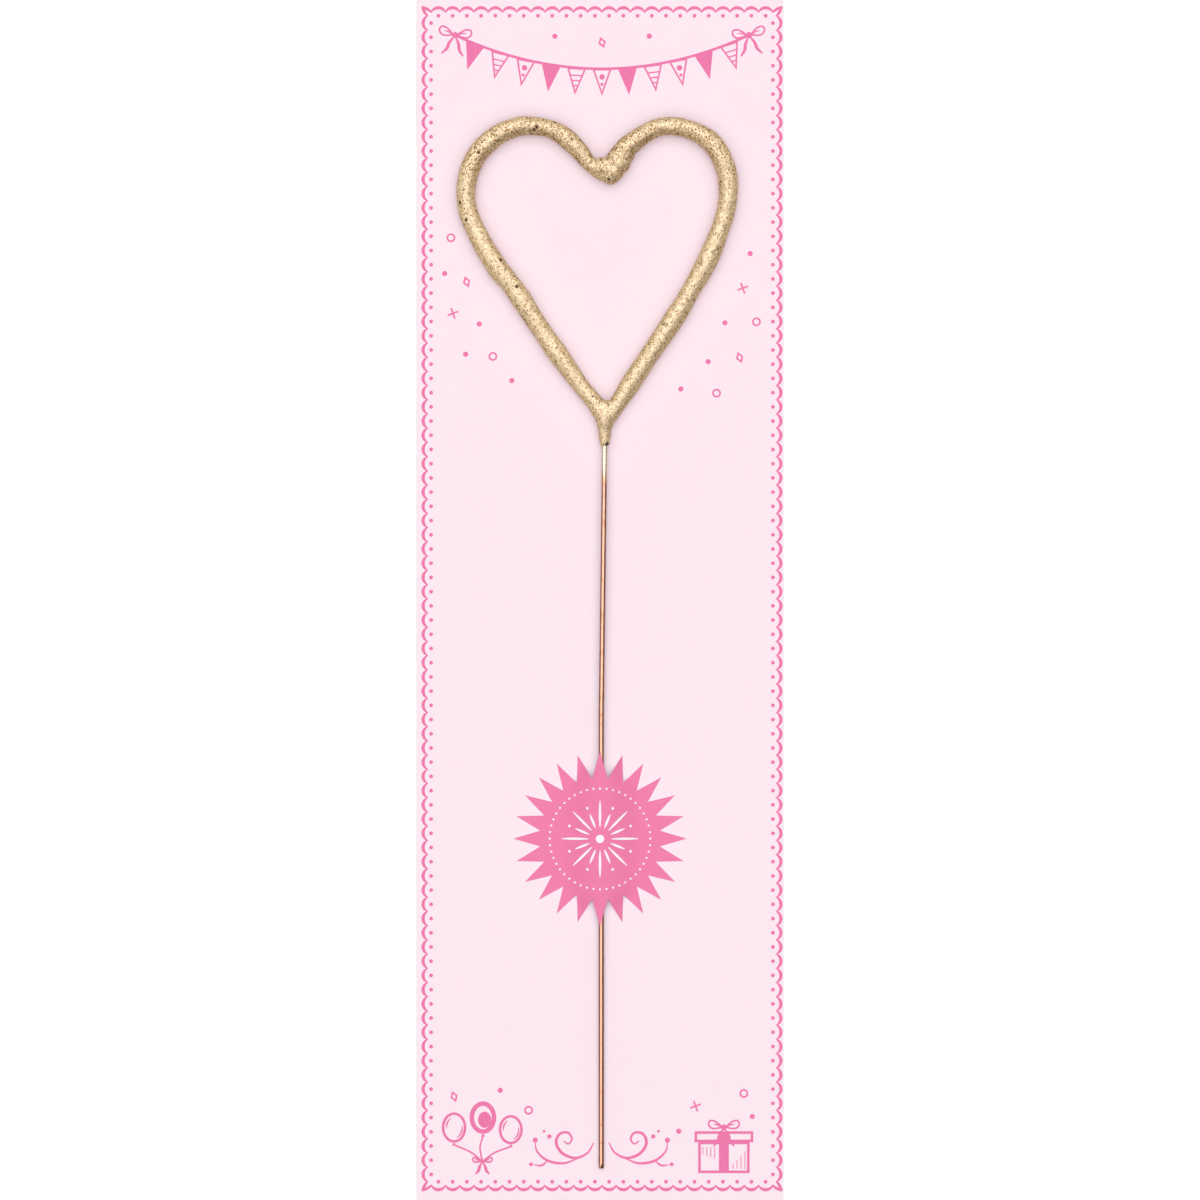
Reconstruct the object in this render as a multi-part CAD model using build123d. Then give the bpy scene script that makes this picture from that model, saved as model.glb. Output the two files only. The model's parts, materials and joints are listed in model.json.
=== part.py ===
from build123d import *
import os
from math import atan2, cos, degrees, pi, radians, sin, tan

# A heart-shaped hand sparkler, held on its backing card by a starburst sticker.
# The card lies on its back: X runs across it, Y up it and Z out of its printed face.
# The origin is the middle of the card's back. Lengths are millimetres, angles are degrees.

# Backing card: a plain rectangle of printed board
CARD_WIDTH = 69.85
CARD_LENGTH = 228.6
CARD_THICKNESS = 0.5

# Starburst sticker: paper face with a film of glue on its back
STICKER_POINTS = 24
STICKER_TIP_RADIUS = 16.5
STICKER_ROOT_RADIUS = 11.5
STICKER_ABOVE_CARD_FOOT = 68.85
PAPER_THICKNESS = 0.12
GLUE_THICKNESS = 0.05
TUNNEL_SLOPE = 40.0
TUNNEL_CREASE_RADIUS = 1.0
TUNNEL_CLEARANCE = 0.12

# Core wire: one length of copper-plated steel, the stem and the heart in one
WIRE_DIAMETER = 0.95
STEM_OFFSET = 0.25
STEM_END_ABOVE_CARD_FOOT = 6.1
STEM_LENGTH = 142.5
STEM_BEND_ABOVE_STICKER = 7.0
STEM_BEND_RADIUS = 400.0
STEM_LEAN = 0.7
FOOT_BEND_RADIUS = 3.0
FREE_END_SETBACK = 2.2

# Heart: the centre line of the wire, measured from the foot of the heart
HEART_HEIGHT = 56.0
CLEFT_DEPTH = 9.9
CLEFT_HALF_WIDTH = 9.2
CLEFT_OFFSET = -0.2
CLEFT_BEND_EASE = 0.2
LEFT_REACH = 26.6
LEFT_SIDE_DROP = 18.4
RIGHT_REACH = 23.4
RIGHT_SIDE_DROP = 14.7
RIGHT_LEG_BOW = 2.7
RIGHT_BOW_PLACE = 0.34

# Shares of each straight run that the rounding of a corner uses up
LEFT_SHOULDER_SHARE = 0.33
LEFT_CROWN_SHARE = 0.66
RIGHT_SHOULDER_SHARE = 0.24
RIGHT_CROWN_SHARE = 0.75
CROWN_TOP_SHARE = 0.74
INNER_SHARE = 0.24
BOW_SHARE = 0.6

# Coat: the sparkler composition on the wire, and the gold lacquer over it
COMPOSITION_DIAMETER = 3.5
LACQUER_THICKNESS = 0.1
LACQUER_BAND_LENGTH = 7.0
LEG_TAPER_LENGTH = 5.5
LEG_FOOT_DIAMETER = 2.6
NECK_DIAMETER = 1.8
NECK_LENGTH = 4.6
NECK_TAPER_LENGTH = 2.0
LAYER_CLEARANCE = 0.02

# Gap between the wand and the card that it lies on
REST_GAP = 0.15

# Places on the card
CARD_FOOT = -CARD_LENGTH / 2
STICKER_CENTRE = CARD_FOOT + STICKER_ABOVE_CARD_FOOT
STEM_END = CARD_FOOT + STEM_END_ABOVE_CARD_FOOT
STEM_BEND = STICKER_CENTRE + STICKER_TIP_RADIUS + STEM_BEND_ABOVE_STICKER
HEART_FOOT_X = STEM_OFFSET + STEM_LEAN
HEART_FOOT_Y = STEM_END + STEM_LENGTH

# The wand tilts so that its stem's end and the foot of the heart both lie on the card
WIRE_RADIUS = WIRE_DIAMETER / 2
COAT_RADIUS = COMPOSITION_DIAMETER / 2 + LACQUER_THICKNESS
WAND_TILT = degrees(atan2(COAT_RADIUS - WIRE_RADIUS, STEM_LENGTH))
WAND_LIFT = CARD_THICKNESS + REST_GAP + WIRE_RADIUS


def heart_point(across, up):
    """Point of the heart's plane, given from the heart's foot."""
    return Vector(HEART_FOOT_X + across, HEART_FOOT_Y + up, 0)


def heart_corners():
    """Corners of the heart's centre line, in order, and the run that each rounding uses up."""
    left_side = HEART_HEIGHT - LEFT_SIDE_DROP
    right_side = HEART_HEIGHT - RIGHT_SIDE_DROP
    left_inner = CLEFT_OFFSET - CLEFT_HALF_WIDTH
    right_inner = CLEFT_OFFSET + CLEFT_HALF_WIDTH
    left_top = LEFT_REACH + left_inner
    right_top = RIGHT_REACH - right_inner

    foot = heart_point(0, 0)
    right_shoulder = heart_point(RIGHT_REACH, right_side)
    right_leg = foot - right_shoulder
    outward = Vector(-right_leg.Y, right_leg.X, 0).normalized()
    right_bow = right_shoulder + right_leg * RIGHT_BOW_PLACE + outward * RIGHT_LEG_BOW
    bow_run = (right_bow - right_shoulder).length

    return [
        (heart_point(-LEFT_REACH, left_side), LEFT_SHOULDER_SHARE * LEFT_SIDE_DROP),
        (
            heart_point(-LEFT_REACH, HEART_HEIGHT),
            min(LEFT_CROWN_SHARE * LEFT_SIDE_DROP, CROWN_TOP_SHARE * left_top),
        ),
        (heart_point(left_inner, HEART_HEIGHT), INNER_SHARE * left_top),
        (heart_point(CLEFT_OFFSET, HEART_HEIGHT - CLEFT_DEPTH), None),
        (heart_point(right_inner, HEART_HEIGHT), INNER_SHARE * right_top),
        (
            heart_point(RIGHT_REACH, HEART_HEIGHT),
            min(RIGHT_CROWN_SHARE * RIGHT_SIDE_DROP, CROWN_TOP_SHARE * right_top),
        ),
        (right_shoulder, min(RIGHT_SHOULDER_SHARE * RIGHT_SIDE_DROP, (1 - BOW_SHARE) * bow_run)),
        (right_bow, BOW_SHARE * bow_run),
    ]


def toward(start, goal, distance):
    """Point at a distance from the start on the straight line to the goal."""
    return start + (goal - start).normalized() * distance


def rounded_path(points, runs):
    """Straight runs joined by tangent arcs, each arc using up the given run, or a set radius."""
    radii = []
    for before, corner, after, run in zip(points, points[1:], points[2:], runs):
        turn = (corner - before).get_angle(after - corner)
        radii.append(run / tan(radians(turn / 2)) if run else CLEFT_BEND_RADIUS)
    return FilletPolyline(*points, radius=radii)


def tube(path, diameter):
    """Round bar along a path."""
    start = Plane(origin=path @ 0, z_dir=path % 0)
    return sweep(start * Circle(diameter / 2), path=path)


def wire_path():
    """Centre line of the whole wire, from the stem's end round the heart to the free end."""
    foot = heart_point(0, 0)
    stem_end = Vector(STEM_OFFSET, STEM_END, 0)
    bend = Vector(STEM_OFFSET, STEM_BEND, 0)
    corners = heart_corners()
    points = [stem_end, bend, foot] + [corner for corner, _ in corners]
    points.append(toward(foot, corners[-1][0], FREE_END_SETBACK))

    lean = (bend - stem_end).get_angle(foot - bend)
    foot_turn = (foot - bend).get_angle(corners[0][0] - foot)
    runs = [STEM_BEND_RADIUS * tan(radians(lean / 2)), FOOT_BEND_RADIUS * tan(radians(foot_turn / 2))]
    runs += [run for _, run in corners]
    return rounded_path(points, runs)


def leg_end(shoulder, grow):
    """Tapered end of one leg of the coat, from the full coat down to the foot of the heart."""
    foot = heart_point(0, 0)
    along = Plane(origin=foot, z_dir=shoulder - foot)
    narrow = LEG_FOOT_DIAMETER / 2 + grow
    wide = COMPOSITION_DIAMETER / 2 + grow
    cone = Cone(narrow, wide, LEG_TAPER_LENGTH, align=(Align.CENTER, Align.CENTER, Align.MIN))
    return along * cone


def down_the_stem():
    """Plane at the heart's foot, facing down the upper stem."""
    foot = heart_point(0, 0)
    return Plane(origin=foot, z_dir=Vector(STEM_OFFSET, STEM_BEND, 0) - foot)


def neck(grow):
    """Neck of the coat: it narrows below the heart's foot and ends as a bead on the stem."""
    along = down_the_stem()
    wide = LEG_FOOT_DIAMETER / 2 + grow
    narrow = NECK_DIAMETER / 2 + grow
    on_axis = (Align.CENTER, Align.CENTER, Align.MIN)
    shoulder = along * Cone(wide, narrow, NECK_TAPER_LENGTH, align=on_axis)
    bead = along * Cylinder(narrow, NECK_LENGTH + grow, align=on_axis)
    knuckle = along * Sphere(wide)
    return shoulder + bead + knuckle


def coat(grow):
    """Outside of the coat as one solid, grown outward by a distance all over."""
    foot = heart_point(0, 0)
    corners = heart_corners()
    first = corners[0][0]
    last = corners[-1][0]
    points = [toward(foot, first, LEG_TAPER_LENGTH)]
    points += [corner for corner, _ in corners]
    points.append(toward(foot, last, LEG_TAPER_LENGTH))
    path = rounded_path(points, [run for _, run in corners])
    loop = tube(path, COMPOSITION_DIAMETER + 2 * grow)
    return loop + leg_end(first, grow) + leg_end(last, grow) + neck(grow)


def lacquer_band():
    """Sleeve of lacquer that runs on down the stem below the coat."""
    radius = WIRE_RADIUS + LAYER_CLEARANCE + LACQUER_THICKNESS
    length = NECK_LENGTH + LACQUER_BAND_LENGTH
    return down_the_stem() * Cylinder(radius, length, align=(Align.CENTER, Align.CENTER, Align.MIN))


def on_card(piece):
    """Lay a piece of the wand on the card, tilted about its stem's end."""
    return Pos(0, STEM_END, WAND_LIFT) * Rot(X=WAND_TILT) * Pos(0, -STEM_END, 0) * piece


def tunnel_line(lift):
    """Cross-section line of the sticker at a height above its underside, over the wire."""
    full = GLUE_THICKNESS + PAPER_THICKNESS
    reach = 2 * STICKER_TIP_RADIUS
    rise = tan(radians(WAND_TILT))
    wire_top = WAND_LIFT + WIRE_RADIUS + rise * (STICKER_CENTRE + STICKER_TIP_RADIUS - STEM_END)
    flat = CARD_THICKNESS + lift
    roof = wire_top + TUNNEL_CLEARANCE + lift
    half_slope = tan(radians(TUNNEL_SLOPE / 2))
    cap_radius = WIRE_RADIUS + TUNNEL_CLEARANCE
    cap = cap_radius * half_slope + lift * half_slope
    foot = cap + (roof - flat) / tan(radians(TUNNEL_SLOPE))
    points = [
        (STEM_OFFSET - reach, flat),
        (STEM_OFFSET - foot, flat),
        (STEM_OFFSET - cap, roof),
        (STEM_OFFSET + cap, roof),
        (STEM_OFFSET + foot, flat),
        (STEM_OFFSET + reach, flat),
    ]
    crease = TUNNEL_CREASE_RADIUS + full - lift
    return Plane.XZ * FilletPolyline(*points, radius=[crease, cap_radius + lift, cap_radius + lift, crease])


def starburst(low, high):
    """Layer of the sticker between two heights above its underside, cut to the starburst."""
    under = tunnel_line(low)
    over = tunnel_line(high)
    sides = [Line(under @ 0, over @ 0), Line(under @ 1, over @ 1)]
    section = make_face([under, over] + sides)
    length = 2 * STICKER_TIP_RADIUS
    band = extrude(Pos(0, STICKER_CENTRE, 0) * section, amount=length, both=True)

    outline = []
    for step in range(2 * STICKER_POINTS):
        radius = STICKER_ROOT_RADIUS if step % 2 else STICKER_TIP_RADIUS
        angle = pi / 2 + step * pi / STICKER_POINTS
        outline.append((radius * cos(angle), STICKER_CENTRE + radius * sin(angle)))
    prism = extrude(make_face(Polyline(*outline, close=True)), amount=CARD_THICKNESS + STICKER_TIP_RADIUS)
    return band & prism


CLEFT_BEND_RADIUS = COAT_RADIUS + CLEFT_BEND_EASE

backing_card = Box(
    CARD_WIDTH,
    CARD_LENGTH,
    CARD_THICKNESS,
    align=(Align.CENTER, Align.CENTER, Align.MIN),
)
sticker_adhesive = starburst(0, GLUE_THICKNESS)
starburst_sticker = starburst(GLUE_THICKNESS, GLUE_THICKNESS + PAPER_THICKNESS)

wire_line = wire_path()
wire = tube(wire_line, WIRE_DIAMETER)
wire_bore = tube(wire_line, WIRE_DIAMETER + 2 * LAYER_CLEARANCE)
core_wire = on_card(wire)
sparkler_composition = on_card(coat(0) - wire_bore)
gold_lacquer = on_card(coat(LACQUER_THICKNESS) + lacquer_band() - coat(LAYER_CLEARANCE) - wire_bore)

os.makedirs("parts", exist_ok=True)
nodes = {
    "backing_card": backing_card,
    "starburst_sticker": starburst_sticker,
    "sticker_adhesive": sticker_adhesive,
    "core_wire": core_wire,
    "sparkler_composition": sparkler_composition,
    "gold_lacquer": gold_lacquer,
}
for name, piece in nodes.items():
    export_step(piece, f"parts/{name}.step")
    print(name, len(piece.solids()), "solid", round(piece.volume, 2), "mm3")
print("wand tilt", round(WAND_TILT, 4), "wire length", round(wire_line.length, 1))
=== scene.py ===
"""A heart sparkler on its printed card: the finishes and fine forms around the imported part.

Lengths are in millimetres and become metres where a mesh is made. X runs across the card, Y up the
card and Z out of its printed face. The card lies on its back.
"""

import json
import logging
import math
import random
from dataclasses import dataclass, field
from enum import Enum
from typing import Any, Callable, NamedTuple, Sequence

import bmesh
import bpy
import numpy as np
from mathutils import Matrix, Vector, noise


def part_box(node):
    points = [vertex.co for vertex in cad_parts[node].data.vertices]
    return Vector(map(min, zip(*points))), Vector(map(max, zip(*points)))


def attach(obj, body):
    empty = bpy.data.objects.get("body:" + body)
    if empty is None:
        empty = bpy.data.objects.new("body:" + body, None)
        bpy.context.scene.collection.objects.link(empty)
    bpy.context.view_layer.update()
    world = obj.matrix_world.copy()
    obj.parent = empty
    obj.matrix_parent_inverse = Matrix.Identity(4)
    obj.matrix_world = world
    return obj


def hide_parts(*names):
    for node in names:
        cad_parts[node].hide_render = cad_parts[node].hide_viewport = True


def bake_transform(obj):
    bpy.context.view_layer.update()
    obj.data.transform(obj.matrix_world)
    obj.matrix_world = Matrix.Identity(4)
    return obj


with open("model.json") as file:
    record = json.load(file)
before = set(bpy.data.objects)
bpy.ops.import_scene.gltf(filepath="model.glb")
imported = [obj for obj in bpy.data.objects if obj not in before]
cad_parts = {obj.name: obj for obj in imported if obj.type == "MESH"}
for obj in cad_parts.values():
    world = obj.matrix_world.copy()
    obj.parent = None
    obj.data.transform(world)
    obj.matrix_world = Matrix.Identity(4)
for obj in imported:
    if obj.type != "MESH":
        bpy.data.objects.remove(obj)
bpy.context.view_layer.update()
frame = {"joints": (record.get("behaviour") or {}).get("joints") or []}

MM = 0.001
# How many sides a round piece has, and how many steps a bend of the wire.
ROUND_SIDES = 20
BEND_STEPS = 24
# The Mix node's colour sockets go by number, because its other sockets share their names.
MIX_FACTOR = 0
MIX_FIRST = 6
MIX_SECOND = 7
MIX_COLOUR = 2

log = logging.getLogger("sparkler")

Tree = bpy.types.NodeTree
Node = bpy.types.Node
Socket = bpy.types.NodeSocket
Piece = bpy.types.Object
Points = np.ndarray
Place = tuple[float, float]
Faces = list[list[int]]
Surface = Callable[[Points], np.ndarray]


class Body(Enum):
    """The rigid bodies that pieces ride on."""

    CARD = "card"
    STICKER = "sticker"
    WAND = "wand"


class Slot(Enum):
    """The record's material slots."""

    BOARD = "card_board"
    STICKER_PAPER = "sticker_paper"
    ADHESIVE = "adhesive"
    WIRE = "copper_wire"
    COMPOSITION = "composition"
    LACQUER = "gold_lacquer"


class PennantFill(Enum):
    """How one flag of the garland is printed."""

    SOLID = 0
    STRIPED = 1
    SPOTTED = 2


class Mark(Enum):
    """The kinds of confetti."""

    DOT = 0
    RING = 1
    CROSS = 2
    DIAMOND = 3


class Spot(NamedTuple):
    """A round place: how far across and how far up it is, and its radius."""

    across: float
    up: float
    radius: float


class Scrap(NamedTuple):
    """One piece of printed confetti and its place on the card."""

    across: float
    up: float
    mark: Mark


class Balloon(NamedTuple):
    """A printed balloon: its middle, half width and half height, and whether it is filled in."""

    across: float
    up: float
    wide: float
    tall: float
    filled: bool


class Glint(NamedTuple):
    """A curved line inside a balloon, as shares of its size, between two angles in degrees."""

    wide: float
    tall: float
    start: float
    end: float


class Bend(NamedTuple):
    """A corner of the wire's route and how far from it the bend starts."""

    across: float
    up: float
    run: float


class Swell(NamedTuple):
    """How thick the coat is at a place along the heart, and how far it stands off the wire to the left."""

    along: float
    radius: float
    sway: float


class Relief(NamedTuple):
    """One kind of unevenness in the coat: its height and width, and where its noise starts."""

    height: float
    width: float
    start: tuple[float, float, float]


class Softbox(NamedTuple):
    """A square lamp that faces the card: its place and size in metres, power in watts and colour.

    in_reflections tells whether shiny pieces mirror it.
    """

    name: str
    place: tuple[float, float, float]
    size: float
    power: float
    colour: str
    in_reflections: bool


class Flag(NamedTuple):
    """A dark card on the studio floor: its bearing in degrees, distance, half width and height in metres."""

    name: str
    bearing: float
    distance: float
    half_width: float
    height: float


def linear(code: str) -> tuple[float, float, float, float]:
    """Turn an sRGB hex colour to linear RGBA.

    Args:
        code: the colour as #RRGGBB.

    Returns:
        Red, green, blue and alpha for a socket.
    """
    channels = [int(code[place:place + 2], 16) / 255 for place in (1, 3, 5)]
    curve = [c / 12.92 if c <= 0.04045 else ((c + 0.055) / 1.055) ** 2.4 for c in channels]
    return (curve[0], curve[1], curve[2], 1.0)


def repeats(size: float) -> float:
    """Give the texture scale at which one feature of a pattern measures size millimetres."""
    return 1.0 / (size * MM)


def feed(node: Node, inputs: dict[Any, Any]) -> None:
    """Set a node's inputs.

    Args:
        node: the node.
        inputs: input name or number, to the output socket that feeds it or to its value.
    """
    for place, value in inputs.items():
        if isinstance(value, Socket):
            node.id_data.links.new(value, node.inputs[place])
        else:
            node.inputs[place].default_value = value


def add_node(tree: Tree, kind: str, inputs: dict[Any, Any] | None = None, **settings: Any) -> Node:
    """Add a shader node with its settings and links.

    Args:
        tree: the material's or world's node tree.
        kind: the node's type name.
        inputs: input name or number, to the output socket that feeds it or to its value.
        settings: attributes of the node.

    Returns:
        The new node.
    """
    node = tree.nodes.new(kind)
    for name, value in settings.items():
        setattr(node, name, value)
    feed(node, inputs or {})
    return node


@dataclass(frozen=True)
class Finish:
    """What every finish has: a name, and a material that is made once."""

    name: str

    def material(self) -> bpy.types.Material:
        """Make the material, or find it if it is made already.

        Returns:
            The material.
        """
        found = bpy.data.materials.get(self.name)
        if found:
            return found
        material = bpy.data.materials.new(self.name)
        material.use_nodes = True
        tree = material.node_tree
        place = add_node(tree, "ShaderNodeTexCoord").outputs["Object"]
        self.dress(tree, tree.nodes["Principled BSDF"], place)
        return material

    def dress(self, tree: Tree, shader: Node, place: Socket) -> None:
        """Set the shader's sockets and add the finish's patterns."""
        raise NotImplementedError


@dataclass(frozen=True)
class PaperFinish(Finish):
    """Paper or board, calendered smooth: a matt, even face with faint clouds and a fine tooth."""

    colour: str = "#FFFFFF"
    cloud_colour: str = "#F4F4F4"
    cloud: float = 5.0
    # Fibres are about 0.03 mm wide. They are drawn coarser, so that they show in the render.
    fibre: float = 0.35
    tooth: float = 0.004
    roughness: float = 0.62
    specular: float = 0.25

    def dress(self, tree: Tree, shader: Node, place: Socket) -> None:
        """Cloud the colour softly and raise the tooth.

        Args:
            tree: the material's node tree.
            shader: its surface shader.
            place: the place on the piece.
        """
        clouds = add_node(tree, "ShaderNodeTexNoise", {
            "Vector": place, "Scale": repeats(self.cloud), "Detail": 3.0})
        fibres = add_node(tree, "ShaderNodeTexNoise", {
            "Vector": place, "Scale": repeats(self.fibre), "Detail": 4.0})
        both = add_node(tree, "ShaderNodeMath", {
            0: clouds.outputs["Fac"], 1: fibres.outputs["Fac"]}, operation="MULTIPLY")
        colour = add_node(tree, "ShaderNodeMix", {
            MIX_FACTOR: both.outputs[0], MIX_FIRST: linear(self.colour),
            MIX_SECOND: linear(self.cloud_colour)}, data_type="RGBA")
        bump = add_node(tree, "ShaderNodeBump", {
            "Height": fibres.outputs["Fac"], "Strength": 0.5, "Distance": self.tooth * MM})
        feed(shader, {
            "Base Color": colour.outputs[MIX_COLOUR], "Normal": bump.outputs["Normal"],
            "Roughness": self.roughness, "Specular IOR Level": self.specular})


@dataclass(frozen=True)
class InkFinish(Finish):
    """Offset ink: a flat even colour, a touch glossier than the sheet, faintly thin in places."""

    colour: str = "#F07DB0"
    thin_colour: str = "#F592BD"
    screen: float = 0.5
    roughness: float = 0.55
    specular: float = 0.25

    def dress(self, tree: Tree, shader: Node, place: Socket) -> None:
        """Let the ink lie a little thinner here and there.

        Args:
            tree: the material's node tree.
            shader: its surface shader.
            place: the place on the piece.
        """
        cover = add_node(tree, "ShaderNodeTexNoise", {
            "Vector": place, "Scale": repeats(self.screen), "Detail": 2.0})
        thin = add_node(tree, "ShaderNodeMapRange", {
            "Value": cover.outputs["Fac"], "From Min": 0.5, "From Max": 0.85})
        colour = add_node(tree, "ShaderNodeMix", {
            MIX_FACTOR: thin.outputs["Result"], MIX_FIRST: linear(self.colour),
            MIX_SECOND: linear(self.thin_colour)}, data_type="RGBA")
        feed(shader, {
            "Base Color": colour.outputs[MIX_COLOUR],
            "Roughness": self.roughness, "Specular IOR Level": self.specular})


@dataclass(frozen=True)
class GlueFinish(Finish):
    """Acrylic pressure adhesive, rolled on: a slightly yellow film with a wet gloss and roller streaks."""

    colour: str = "#F4E9DC"
    thin_colour: str = "#FFF8EE"
    streak: float = 0.8
    streak_height: float = 0.02
    roughness: float = 0.22
    refraction: float = 1.47

    def dress(self, tree: Tree, shader: Node, place: Socket) -> None:
        """Raise the coating roller's streaks under the gloss.

        Args:
            tree: the material's node tree.
            shader: its surface shader.
            place: the place on the piece.
        """
        streaks = add_node(tree, "ShaderNodeTexNoise", {
            "Vector": place, "Scale": repeats(self.streak), "Detail": 3.0})
        bump = add_node(tree, "ShaderNodeBump", {
            "Height": streaks.outputs["Fac"], "Strength": 0.6, "Distance": self.streak_height * MM})
        colour = add_node(tree, "ShaderNodeMix", {
            MIX_FACTOR: streaks.outputs["Fac"], MIX_FIRST: linear(self.colour),
            MIX_SECOND: linear(self.thin_colour)}, data_type="RGBA")
        feed(shader, {
            "Base Color": colour.outputs[MIX_COLOUR], "Normal": bump.outputs["Normal"],
            "Roughness": self.roughness, "IOR": self.refraction})


@dataclass(frozen=True)
class DrawnCopperFinish(Finish):
    """Copper-plated drawn wire: salmon metal with die lines, with painted shade that makes its flanks browner
    than its top.
    """

    colour: str = "#DCA78E"
    # Painted shade: the colour of the wire's flanks, darker and browner than its top.
    shaded_flank: str = "#9A6046"
    tarnish: str = "#9C5E42"
    edge_tint: str = "#5E3526"
    # Die lines are about 0.01 mm apart. They are drawn coarser, so that they show in the render.
    line_width: float = 0.12
    line_length: float = 9.0
    line_depth: float = 0.01
    spot: float = 1.6
    least_roughness: float = 0.2
    most_roughness: float = 0.4

    def dress(self, tree: Tree, shader: Node, place: Socket) -> None:
        """Stretch fine lines along the wire, paint its top lighter and its flanks darker as painted shade,
        and tarnish it in spots.

        Args:
            tree: the material's node tree.
            shader: its surface shader.
            place: the place on the piece.
        """
        stretch = (1.0, self.line_width / self.line_length, 1.0)
        along = add_node(tree, "ShaderNodeVectorMath", {0: place, 1: stretch}, operation="MULTIPLY")
        lines = add_node(tree, "ShaderNodeTexNoise", {
            "Vector": along.outputs[0], "Scale": repeats(self.line_width), "Detail": 2.0})
        spots = add_node(tree, "ShaderNodeTexNoise", {
            "Vector": place, "Scale": repeats(self.spot), "Detail": 4.0})
        dull = add_node(tree, "ShaderNodeMapRange", {
            "Value": spots.outputs["Fac"], "From Min": 0.55, "From Max": 0.8, "To Max": 0.75})
        # Painted shade: by which way it faces, the wire goes from the flank colour on its sides to its own
        # colour on top.
        facing = add_node(tree, "ShaderNodeTexCoord").outputs["Normal"]
        upward = add_node(tree, "ShaderNodeSeparateXYZ", {"Vector": facing})
        painted_top_light = add_node(tree, "ShaderNodeMapRange", {
            "Value": upward.outputs["Z"], "From Min": 0.5, "From Max": 0.85})
        bright = add_node(tree, "ShaderNodeMix", {
            MIX_FACTOR: painted_top_light.outputs["Result"], MIX_FIRST: linear(self.shaded_flank),
            MIX_SECOND: linear(self.colour)}, data_type="RGBA")
        colour = add_node(tree, "ShaderNodeMix", {
            MIX_FACTOR: dull.outputs["Result"], MIX_FIRST: bright.outputs[MIX_COLOUR],
            MIX_SECOND: linear(self.tarnish)}, data_type="RGBA")
        bump = add_node(tree, "ShaderNodeBump", {
            "Height": lines.outputs["Fac"], "Strength": 0.5, "Distance": self.line_depth * MM})
        rough = add_node(tree, "ShaderNodeMapRange", {
            "Value": lines.outputs["Fac"], "To Min": self.least_roughness, "To Max": self.most_roughness})
        feed(shader, {
            "Base Color": colour.outputs[MIX_COLOUR], "Roughness": rough.outputs["Result"],
            "Normal": bump.outputs["Normal"], "Metallic": 1.0, "Specular Tint": linear(self.edge_tint)})


@dataclass(frozen=True)
class DippedLacquerFinish(Finish):
    """Gold bronze lacquer where it ran down bare wire: a pale, smooth, glossy film with fine flakes."""

    colour: str = "#F6EFD6"
    shade: str = "#E2D2B6"
    worn: str = "#D9A384"
    edge_tint: str = "#B0906F"
    flake: float = 0.18
    roughness: float = 0.26
    metallic: float = 0.95

    def dress(self, tree: Tree, shader: Node, place: Socket) -> None:
        """Tone the film flake by flake, down to bare copper where it thins out.

        Args:
            tree: the material's node tree.
            shader: its surface shader.
            place: the place on the piece.
        """
        flakes = add_node(tree, "ShaderNodeTexVoronoi", {"Vector": place, "Scale": repeats(self.flake)})
        tone = add_node(tree, "ShaderNodeSeparateColor", {"Color": flakes.outputs["Color"]})
        film = add_node(tree, "ShaderNodeMix", {
            MIX_FACTOR: tone.outputs[0], MIX_FIRST: linear(self.colour),
            MIX_SECOND: linear(self.shade)}, data_type="RGBA")
        thin = add_node(tree, "ShaderNodeAttribute", attribute_name="thin")
        colour = add_node(tree, "ShaderNodeMix", {
            MIX_FACTOR: thin.outputs["Fac"], MIX_FIRST: film.outputs[MIX_COLOUR],
            MIX_SECOND: linear(self.worn)}, data_type="RGBA")
        feed(shader, {
            "Base Color": colour.outputs[MIX_COLOUR], "Roughness": self.roughness,
            "Metallic": self.metallic, "Specular Tint": linear(self.edge_tint)})


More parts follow.
